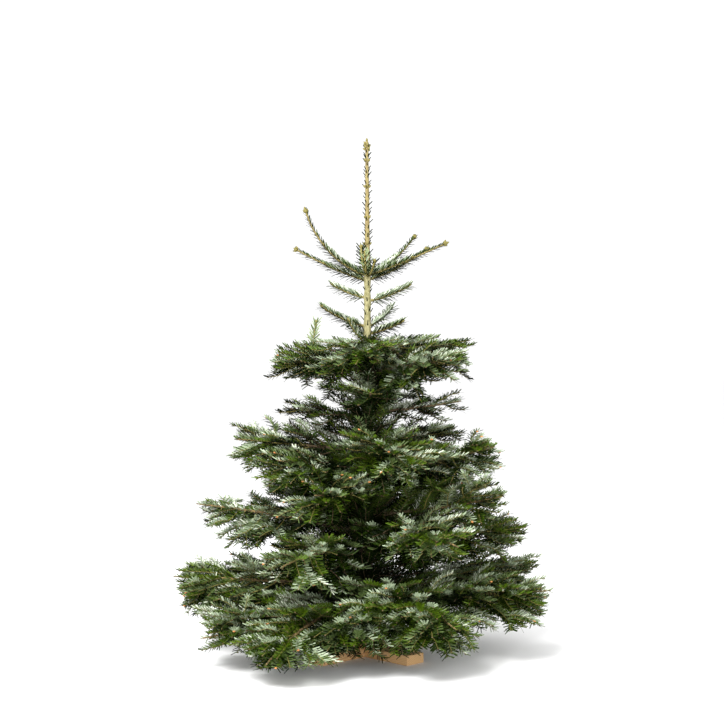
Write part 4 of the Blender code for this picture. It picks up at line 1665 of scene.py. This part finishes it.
class NeedleCoat(Pattern):
    """Clothes lines in needles: flat combs and standing brushes, pointing forwards."""

    def __init__(self) -> None:
        """Builds the tree."""
        super().__init__("needle coat", Spacing="Float", Straight="Object", Curved="Object", Plain="Object",
                         Floor="Float")
        stations = self.add("GeometryNodeCurveToPoints", {"mode": "LENGTH"},
                            {"Curve": self.curves(), "Length": self.given("Spacing")})
        fallen = self.chance(0, 1, 11).math("GREATER_THAN", self.named("density"))
        points = self.add("GeometryNodeDeleteGeometry", {"domain": "POINT"},
                          {"Geometry": stations, "Selection": fallen})
        stance = self.stance(Arrow(self, stations, "Tangent"))
        position = Arrow(self, self.add("GeometryNodeInputPosition"))
        jut = position + stance.out * (self.named("thickness") * 0.7)
        points = self.add("GeometryNodeSetPosition", {}, {"Geometry": points, "Position": jut})
        # Needles at the twig's sides and below it take the tone's darker shade: painted shade.
        lower = (stance.over + self.chance(-0.22, 0.22, 19)).math("LESS_THAN", 0.30)
        dealt = self.named("tone") + (self.named("shade") - self.named("tone")) * lower
        points = self.add("GeometryNodeStoreNamedAttribute", {"data_type": "FLOAT"},
                          {"Geometry": points, "Name": "tone", "Value": dealt})
        blades = self.add("GeometryNodeJoinGeometry")
        for label in ("Plain", "Curved", "Straight"):
            self.feed(blades.inputs[0], self.shape(label))
        placed = self.add("GeometryNodeInstanceOnPoints", {}, {
            "Points": points, "Instance": blades, "Pick Instance": True,
            "Instance Index": self.chance(1, 2.999, 14).math("FLOOR") * self.named("keeled"),
            "Rotation": self.rotation(stance.aim, stance.face),
            "Scale": self.combined(self.chance(0.8, 1.15, 12), self.chance(0.8, 1.15, 13), stance.length)})
        x, y, z = self.split(position)
        place = self.combined(x, y, z.math("MAXIMUM", self.given("Floor")))
        lifted = self.add("GeometryNodeSetPosition", {}, {"Geometry": self.real(placed), "Position": place})
        flat = self.add("GeometryNodeSetShadeSmooth", {}, {"Geometry": lifted, "Shade Smooth": False})
        self.close(flat, Tone.materials("needle"))

    def stance(self, along: Arrow) -> Stance:
        """How each needle stands on its twig.

        Args:
            along: the twig's own direction.

        Returns:
            How it stands.
        """
        count = Wire(self, self.add("GeometryNodeInputIndex"))
        turn = (count * GOLDEN_SHARE).math("FRACT") * 2.0 - 1.0
        comb = turn.math("SIGN") * (COMB_TURN + (turn.math("ABSOLUTE") - 0.5) * COMB_FAN)
        brushed = turn * self.named("spread")
        angle = (comb + (brushed - comb) * self.named("brush") + self.chance(-7, 7, 15)) * (math.pi / 180)
        side = along.cross(self.named("above", "FLOAT_VECTOR", Arrow)).normalized()
        top = side.cross(along).normalized()
        out = top * angle.math("COSINE") + side * angle.math("SINE")
        over = angle.math("COSINE").math("MAXIMUM", 0.0)
        lean = (self.named("lean") * (1 - over * 0.16) + self.chance(-6, 6, 16)) * (math.pi / 180)
        forward, away = lean.math("COSINE"), lean.math("SINE")
        aim = along * forward + out * away
        face = top * (1 - over) + (along * away - out * forward) * over + side * self.chance(-0.25, 0.25, 17)
        length = self.named("reach") * (1 - over * 0.30) * self.chance(0.84, 1.12, 18)
        return Stance(aim, face.normalized(), out, over, length)


class TwigSkin(Pattern):
    """Gives lines a closed round skin."""

    def __init__(self) -> None:
        """Builds the tree."""
        super().__init__("twig skin", Sides="Int")
        ring = self.add("GeometryNodeCurvePrimitiveCircle", {},
                        {"Resolution": self.given("Sides"), "Radius": 1.0})
        skin = self.add("GeometryNodeCurveToMesh", {}, {
            "Curve": self.curves(), "Profile Curve": ring, "Scale": self.named("thickness"),
            "Fill Caps": True})
        self.close(self.real(skin), Stem.materials("twig"))


class PointSet(Pattern):
    """Sets a copy of one shape on each point, pointing where the point's aim says."""

    def __init__(self, name: str, shades: list[list[Material]]) -> None:
        """Builds the tree.

        Args:
            name: the tree's name.
            shades: the materials of each tone.
        """
        super().__init__(name, Shape="Object", Shortest="Float", Longest="Float")
        size, aims = self.named("size"), [self.named(v, "FLOAT_VECTOR", Arrow) for v in ("aim", "above")]
        length = size * self.chance(self.given("Shortest"), self.given("Longest"), 21)
        placed = self.add("GeometryNodeInstanceOnPoints", {}, {
            "Points": self.add("GeometryNodeMeshToPoints", {}, {"Mesh": self.given("Geometry")}),
            "Instance": self.shape("Shape"), "Scale": self.combined(size, size, length),
            "Rotation": self.rotation(*aims)})
        self.close(self.real(placed), shades)


def turned_solid(name: str, profile: list[Pair], sides: int) -> Object:
    """Makes a smooth hidden template turned about +Z.

    Args:
        name: its name.
        profile: (radius, height) of each ring from the lowest up; a radius of 0 closes an end.
        sides: how many sides it has.

    Returns:
        The template's object.
    """
    bm = bmesh.new()
    rings = []
    for radius, height in profile:
        turns = [2 * math.pi * k / sides for k in range(sides)] if radius else [0.0]
        rings.append([bm.verts.new((radius * math.cos(t), radius * math.sin(t), height)) for t in turns])
    for low, high in zip(rings, rings[1:]):
        for k in range(sides):
            corners = [low[k % len(low)], low[(k + 1) % len(low)]]
            corners += [high[(k + 1) % len(high)], high[k % len(high)]]
            bm.faces.new(list(dict.fromkeys(corners)))
    for ring in (rings[0], rings[-1]):
        if len(ring) > 1:
            bm.faces.new(ring)
    mesh = mesh_from_work(bm)
    mesh.shade_smooth()
    return new_object(name, mesh, hidden=True)


# ---- foliage


@dataclass(frozen=True)
class FoliageGroup:
    """Tiers whose twigs share a piece, and how many pieces their needles are split into."""

    name: str
    tiers: tuple[str, ...]
    needle_pieces: int


GROUPS = (
    FoliageGroup("crown", ("crown", "high_spur", "low_spur", "top"), 1),
    FoliageGroup("shoulder", ("upper_between",), 1),
    FoliageGroup("middle", ("middle",), 2),
    FoliageGroup("belt", ("lower_between",), 2),
    FoliageGroup("broad", ("broad",), 3),
    FoliageGroup("skirt", ("ground", "lowest"), 4),
)


@dataclass
class Foliage:
    """All twigs, needles and buds of the tree."""

    boughs: list[Bough]
    trunk: TrunkLine
    needle_triangles: int = NEEDLE_TRIANGLES
    twig_sides: int = 4
    bud_sides: int = 5
    cluster_angle: float = 42.0
    cluster_share: float = 0.82
    bud_sink: float = 0.0015
    blades: dict[str, Blade] = field(default_factory=lambda: {
        "Straight": Blade(0.0004), "Curved": Blade(0.0030), "Plain": Blade(0.0016, False)})

    def build(self) -> None:
        """Makes the pieces of needles, twigs and buds."""
        grown = self.grown()
        spacing = self.spacing([twig for twigs in grown.values() for twig in twigs if twig.density])
        blades = {label: blade.build(f"needle_{label.lower()}") for label, blade in self.blades.items()}
        half = BUD_WIDTH / 2
        bud = turned_solid("bud_template", [(0.7 * half, 0.0), (half, 0.42 * BUD_LENGTH), (0.0, BUD_LENGTH)],
                           self.bud_sides)
        coat, skin, buds = NeedleCoat(), TwigSkin(), PointSet("bud set", Bud.materials("bud"))
        for group in GROUPS:
            members = [bough for bough in self.boughs if bough.tier.name in group.tiers]
            size = math.ceil(len(members) / group.needle_pieces)
            for k in range(group.needle_pieces):
                some = members[k * size:(k + 1) * size]
                suffix = f"_{k + 1}" if group.needle_pieces > 1 else ""
                lines = [twig for bough in some for twig in grown[bough.seed] if twig.density]
                piece = coat.run(f"needles_{group.name}{suffix}", self.line_carrier(lines, True),
                                 {"Spacing": spacing, "Floor": NEEDLE_FLOOR, **blades})
                publish(piece, [f"foliage_{bough.label}" for bough in some])
            twigs = [twig for bough in members for twig in grown[bough.seed]]
            lines = self.line_carrier([twig for twig in twigs if twig.skinned], False)
            publish(skin.run(f"twigs_{group.name}", lines, {"Sides": self.twig_sides}))
            publish(buds.run(f"buds_{group.name}", self.bud_carrier(twigs),
                             {"Shape": bud, "Shortest": 0.85, "Longest": 1.15}))
        for template in (*blades.values(), bud):
            bpy.data.objects.remove(template)

    def grown(self) -> dict[int, list[Twig]]:
        """Grows every bough, and gives each of the trunk's own twigs to the bough nearest to it.

        Returns:
            The twigs of each bough, by its seed.
        """
        own = TrunkGrowth(self.trunk)
        found = {bough.seed: BoughGrowth(bough).grow() for bough in self.boughs}
        for twig in own.short_twigs():
            nearest = min(self.boughs, key=lambda bough: (bough.axis[0] - twig.line[0]).length)
            found[nearest.seed].append(twig)
        found[self.boughs[0].seed] += own.leader() + own.extra_shoots()
        return found

    def spacing(self, twigs: list[Twig]) -> float:
        """How far apart the needles stand along a twig.

        Args:
            twigs: all twigs that have needles.

        Returns:
            The spacing that keeps to the number of triangles.
        """
        total = sum(line_length(twig.line) * twig.density for twig in twigs)
        spacing = sum(twig.triangles for twig in twigs) / self.needle_triangles
        log.info("%d twigs, %.1f m clothed, a needle every %.2f mm, %d needles", len(twigs), total,
                 spacing * 1000, total / spacing)
        return spacing

    @staticmethod
    def line_carrier(twigs: list[Twig], clothed: bool) -> Object:
        """Lays out the twigs' lines, with how they are at each point.

        Args:
            twigs: the twigs.
            clothed: whether the lines are to carry needles, or else a skin.

        Returns:
            The carrier.
        """
        lines, numbers, above = [twig.clothed_line() if clothed else twig.line for twig in twigs], {}, []
        for twig, line in zip(twigs, lines):
            for k, (_, _, up) in enumerate(frames_along(line)):
                above.append(up)
                for label, value in twig.traits(k / (len(line) - 1), clothed).items():
                    numbers.setdefault(label, []).append(value)
        return carrier(lines, numbers, {"above": above})

    def bud_carrier(self, twigs: list[Twig]) -> Object:
        """Lays out the points that buds sit on: one at a shoot's end, the others of a cluster round it.

        Args:
            twigs: the twigs.

        Returns:
            The carrier.
        """
        points, size, tone, aim, above = [], [], [], [], []
        for twig in twigs:
            # Twigs with the darkest bark get no buds: the old ones and those painted in shade deep inside.
            if twig.bark is Stem.OLD:
                continue
            tangent, side, up = frames_along(twig.line)[-1]
            across = (side, -side, up, -up)
            for k in range(twig.buds):
                angle = math.radians(self.cluster_angle) if k else 0.0
                points.append([twig.line[-1] - self.bud_sink * tangent])
                size.append(twig.bud_size * (self.cluster_share if k else 1.0))
                tone.append(twig.bud.place)
                aim.append(math.cos(angle) * tangent + math.sin(angle) * across[k - 1])
                above.append(up)
        return carrier(points, {"size": size, "tone": tone}, {"aim": aim, "above": above})


# ---- trunk and boughs


def ring(centre: Vector, axes: tuple[Vector, Vector], sides: int,
         reach: Callable[[Vector], float]) -> list[Point]:
    """The points of one ring round a stem.

    Args:
        centre: its middle.
        axes: two directions across the stem.
        sides: how many points.
        reach: how far out the surface is in a direction.

    Returns:
        Its points.
    """
    turns = [2 * math.pi * k / sides for k in range(sides)]
    ways = [math.cos(turn) * axes[0] + math.sin(turn) * axes[1] for turn in turns]
    return [tuple(centre + out * reach(out)) for out in ways]


@dataclass
class Trunk:
    """The trunk's mesh, with collars at its boughs, resin blisters and fine cracks."""

    line: TrunkLine
    boughs: list[Bough]
    finish: BarkFinish = BarkFinish()
    rings: int = 430
    sides: int = 48
    top: float = TREE_HEIGHT - BUD_LENGTH * 1.6
    collar_height: float = 0.016
    collar_reach: float = 2.5
    collar_share: float = 0.34
    old_below: float = 1.15
    ageing: float = 0.9
    swell_depth: float = 0.0010
    swell_grain: Pair = (40, 16)
    blister_depth: float = 0.0012
    blister_grain: Pair = (120, 190)
    blister_shift: float = 7
    blister_from: float = 0.36
    blister_gain: float = 2.6
    crack_depth: float = 0.0008
    crack_grain: Pair = (190, 42)
    dome_rings: int = 6
    dome_share: float = 0.9

    def build(self) -> None:
        """Makes the trunk in place of the frame's own."""
        rows = []
        for r in range(self.rings):
            height = self.line.foot + (self.top - self.line.foot) * r / (self.rings - 1)
            rows.append(self.ring(height, 1.0))
        for r in range(1, self.dome_rings + 1):
            turn = 0.5 * math.pi * r / (self.dome_rings + 1)
            height = self.top + self.line.tip_radius * math.sin(turn) * self.dome_share
            rows.append(self.ring(height, math.cos(turn)))
        points = [point for row in rows for point in row]
        mesh = mesh_from_lists(points, tube_faces(len(rows), self.sides))
        mesh.shade_smooth()
        publish(new_object("trunk_bark", mesh, self.finish.material()), ["trunk"])

    def ring(self, height: float, share: float) -> list[Point]:
        """One ring of points at a height, its radius a share of the trunk's own."""
        radius = self.line.radius(height) * share
        return ring(self.line.centre(height), (Vector((1, 0, 0)), Vector((0, 1, 0))), self.sides,
                    lambda out: radius + self.relief(height, out, radius))

    def relief(self, height: float, out: Vector, radius: float) -> float:
        """How far the bark stands out from the plain taper at one place.

        Args:
            height: the place's height.
            out: its direction from the trunk's middle.
            radius: the plain radius there.

        Returns:
            The relief.
        """
        at = Vector((out.x * radius, out.y * radius, height))
        age = max(0.0, min(1.0, (self.old_below - height) / self.ageing))
        cracks = self.grain(at, self.crack_grain) * self.crack_depth * age
        swell = self.grain(at, self.swell_grain) * self.swell_depth * age
        spot = self.grain(at, self.blister_grain, self.blister_shift)
        blister = max(0.0, spot - self.blister_from) * self.blister_gain * self.blister_depth * age
        collar = 0.0
        for bough in self.boughs:
            above = (height - bough.axis[0].z) / self.collar_height
            if abs(above) < self.collar_reach:
                facing = out.dot(heading(bough.place.azimuth, 0))
                collar = max(collar, math.exp(-above * above) * max(0.0, facing) ** 3 * bough.radius(0))
        return cracks + swell + blister + self.collar_share * collar

    @staticmethod
    def grain(at: Vector, fineness: Pair, shift: float = 0.0) -> float:
        """Noise of one fineness round the trunk and another along it."""
        across, along = fineness
        return noise.noise(Vector((at.x * across + shift, at.y * across, at.z * along)))


@dataclass
class BoughSkins:
    """The boughs' own bark, from inside the trunk to the young shoot at each tip."""

    boughs: list[Bough]
    finish: BoughFinish = BoughFinish()
    sides: int = 10
    ring_pitch: float = 0.0075
    tip_radius: float = 0.0013
    tip_closing: float = 0.25
    flare: float = 0.30
    flare_reach: float = 0.035
    knots: Pair = (0.16, 150)
    swells: Pair = (0.10, 46)

    def build(self) -> None:
        """Makes all boughs as one piece in place of the frame's limbs."""
        points, faces = [], []
        for bough in self.boughs:
            if bough.tier.years > 1:
                rings = self.rings(bough)
                faces += tube_faces(len(rings), self.sides, len(points))
                points += [point for row in rings for point in row]
        mesh = mesh_from_lists(points, faces)
        mesh.shade_smooth()
        limbs = [f"bough_{bough.label}" for bough in self.boughs if bough.tier.limb_share]
        publish(new_object("bough_bark", mesh, self.finish.material()), limbs)

    def rings(self, bough: Bough) -> list[list[Point]]:
        """Lays out the rings of one bough.

        Args:
            bough: the bough.

        Returns:
            Each ring's points.
        """
        length = bough.length - TIP_BACKOFF
        count = int(length / self.ring_pitch)
        line = part_of_line(bough.axis, 0.0, length / bough.length, count)
        found = []
        for k, (at, (_, side, up)) in enumerate(zip(line, frames_along(line))):
            share = k / (count - 1)
            plain = bough.radius(share) * (1 - share) ** self.tip_closing + self.tip_radius * share
            plain *= 1 + self.flare * math.exp(-share * length / self.flare_reach)
            found.append(ring(at, (side, up), self.sides, lambda out: plain * (
                1 + self.bumps(at + out * plain, self.knots) + self.bumps(at, self.swells))))
        return found

    @staticmethod
    def bumps(at: Vector, kind: Pair) -> float:
        """How far bumps of one depth and fineness stand out at a place, as a share of the radius."""
        depth, fineness = kind
        return depth * noise.noise(at * fineness)


# ---- stand


@dataclass
class Stand:
    """Two boards halved over each other, with a wedge on each arm screwed down against the trunk."""

    length: float = BOARD_LENGTH
    width: float = BOARD_WIDTH
    height: float = BOARD_HEIGHT
    edge: float = 0.0022
    brace_edge: float = 0.0012
    edge_segments: int = 3
    sharp_from: float = math.radians(28)
    trunk_play: float = 0.0012
    screw_head: float = 0.0042
    screw_sides: int = 14
    screw_places: tuple[float, ...] = (0.040, 0.062)
    screw_inset: float = 0.03

    def build(self) -> None:
        """Makes the boards, the braces and their screws."""
        half, middle, top = self.length / 2, self.height / 2, self.height
        lap = self.width / 2 + GAP / 2
        under = [(-half, 0), (half, 0), (half, top), (lap, top), (lap, middle), (-lap, middle), (-lap, top),
                 (-half, top)]
        over = [(-half, 0), (-lap, 0), (-lap, middle + GAP), (lap, middle + GAP), (lap, 0), (half, 0),
                (half, top), (-half, top)]
        self.sawn_piece("under", under, self.width, BOARD_TURN, self.edge, "board_under")
        self.sawn_piece("over", over, self.width, BOARD_TURN + math.pi / 2, self.edge, "board_over")
        foot, back = self.height + GAP, TRUNK_FOOT_RADIUS + self.trunk_play
        wedge = [(back, foot), (BRACE_LENGTH, foot), (BRACE_LENGTH, foot + BRACE_TOE),
                 (BRACE_TOP, foot + BRACE_HEIGHT), (back, foot + BRACE_HEIGHT)]
        for k in range(4):
            self.sawn_piece(f"wedge_{k + 1}", wedge, BRACE_WIDTH, BOARD_TURN + k * math.pi / 2,
                            self.brace_edge, f"brace_{k + 1}")
        self.screws()

    def sawn_piece(self, name: str, outline: list[Pair], width: float, turn: float,
                   edge: float, node: str) -> None:
        """Makes one sawn piece: an outline seen from its side, given a width and eased edges.

        Args:
            name: the piece's name within the stand.
            outline: its corners along and up, in order.
            width: how wide it is.
            turn: where its length points, in radians from +X.
            edge: how far its edges are eased.
            node: the name within the stand of the frame's node that it stands for.
        """
        bm = bmesh.new()
        walls = [[bm.verts.new((x, y, z)) for x, z in outline] for y in (-width / 2, width / 2)]
        for wall in walls:
            bm.faces.new(wall)
        for k in range(len(outline)):
            j = (k + 1) % len(outline)
            bm.faces.new((walls[0][k], walls[0][j], walls[1][j], walls[1][k]))
        mesh = mesh_from_work(bm)
        mesh.transform(Matrix.Rotation(turn, 4, "Z"))
        rough = new_object("sawn", mesh, TimberFinish(f"stand_{name}_timber", turn).material())
        bevel = rough.modifiers.new("edges", "BEVEL")
        bevel.width, bevel.segments, bevel.limit_method = edge, self.edge_segments, "ANGLE"
        eased = settled(rough)
        eased.shade_smooth()
        eased.set_sharp_from_angle(angle=self.sharp_from)
        publish(new_object(f"stand_{name}", eased), [f"stand_{node}"])

    def screws(self) -> None:
        """Two screws through each wedge's slope and four through the boards' arms."""
        slope = Vector((BRACE_HEIGHT - BRACE_TOE, 0, BRACE_LENGTH - BRACE_TOP)).normalized()
        points, aims = [], []
        for k in range(4):
            turn = Matrix.Rotation(BOARD_TURN + k * math.pi / 2, 3, "Z")
            for along in self.screw_places:
                fall = (along - BRACE_TOP) / (BRACE_LENGTH - BRACE_TOP)
                up = self.height + GAP + BRACE_HEIGHT - (BRACE_HEIGHT - BRACE_TOE) * fall
                points.append([turn @ Vector((along, 0, up))])
                aims.append(turn @ slope)
            points.append([turn @ Vector((self.length / 2 - self.screw_inset, 0, self.height))])
            aims.append(Vector((0, 0, 1)))
        head, count = self.screw_head, len(aims)
        profile = [(0.5 * head, -0.002), (head, -0.0004), (0.96 * head, 0.0004), (0.55 * head, 0.0005),
                   (0.42 * head, -0.0008), (0.0, -0.0012)]
        screw = turned_solid("screw_template", profile, self.screw_sides)
        lines = carrier(points, {"size": [1.0] * count, "tone": [0.0] * count},
                        {"aim": aims, "above": [Vector((0, 1, 0))] * count})
        piece = PointSet("screw set", [[SteelFinish().material()]]).run(
            "stand_screws", lines, {"Shape": screw, "Shortest": 1.0, "Longest": 1.0})
        bpy.data.objects.remove(screw)
        publish(piece)


# ---- studio


@dataclass
class Studio:
    """A pale floor, soft light and a level camera."""

    camera_height: float = 0.848
    camera_distance: float = 4.0
    lens: float = 68.4
    shift: float = -3 / 724
    floor_reach: float = 60.0
    floor_colour: Colour = (0.92, 0.92, 0.92)
    daylight: float = 1.1
    aim_height: float = 0.7

    def build(self) -> None:
        """Makes the floor, the light and the camera."""
        scene, reach = bpy.context.scene, self.floor_reach
        corners = [(-reach, -reach, 0), (reach, -reach, 0), (reach, reach, 0), (-reach, reach, 0)]
        pale = ShaderWork("floor_pale").paint(base_color=self.floor_colour, roughness=0.9)
        new_object("floor", mesh_from_lists(corners, [(0, 1, 2, 3)]), pale)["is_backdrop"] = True
        scene.world = bpy.data.worlds.new("surround")
        scene.world.use_nodes = True
        surround = scene.world.node_tree.nodes["Background"].inputs
        surround["Color"].default_value = (1.0, 1.0, 1.0, 1.0)
        surround["Strength"].default_value = self.daylight
        self.lamp("key", Vector((-1.6, -3.2, 3.8)), 2.2, 420.0)
        self.lamp("front", Vector((1.4, -4.6, 0.9)), 3.0, 190.0)
        data = bpy.data.cameras.new("camera")
        data.lens, data.shift_x = self.lens, self.shift
        scene.camera = self.stood("camera", data, Vector((0, -self.camera_distance, self.camera_height)))
        scene.camera.rotation_euler = (math.pi / 2, 0, 0)
        scene.view_settings.view_transform = "Standard"

    @staticmethod
    def stood(name: str, data: bpy.types.ID, place: Vector) -> Object:
        """Stands a camera or a lamp at a place.

        Args:
            name: its name.
            data: the camera or the lamp.
            place: where it stands.

        Returns:
            Its object.
        """
        made = bpy.data.objects.new(name, data)
        made.location = place
        bpy.context.scene.collection.objects.link(made)
        return made

    def lamp(self, name: str, place: Vector, size: float, power: float) -> None:
        """Stands a soft lamp that faces the tree's middle.

        Args:
            name: its name.
            place: where it stands.
            size: how wide it is.
            power: how strong it is, in watts.
        """
        data = bpy.data.lights.new(name, "AREA")
        data.size, data.energy = size, power
        aim = Vector((0, 0, self.aim_height)) - place
        self.stood(name, data, place).rotation_euler = aim.to_track_quat("-Z", "Y").to_euler()


def write_sizes() -> None:
    """Logs the frame's box and the dressed tree's box."""
    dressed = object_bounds()
    boxes = {"cad": [list(corner) for corner in CAD_BOX], "visual": [list(corner) for corner in dressed]}
    for label, (low, high) in boxes.items():
        log.info("%s box: %s to %s", label, [round(v, 4) for v in low], [round(v, 4) for v in high])


def main() -> None:
    """Builds the tree, its stand and the studio."""
    logging.basicConfig(level=logging.INFO, format="%(name)s %(message)s")
    trunk = TrunkLine()
    places = [(tier, index) for tier in TIERS for index in range(len(tier.boughs))]
    boughs = [Bough(tier, index, BOUGH_SEED + k, trunk) for k, (tier, index) in enumerate(places)]
    for part in (Trunk(trunk, boughs), BoughSkins(boughs), Foliage(boughs, trunk), Stand(), Studio()):
        part.build()
    write_sizes()


if __name__ == "__main__":
    main()
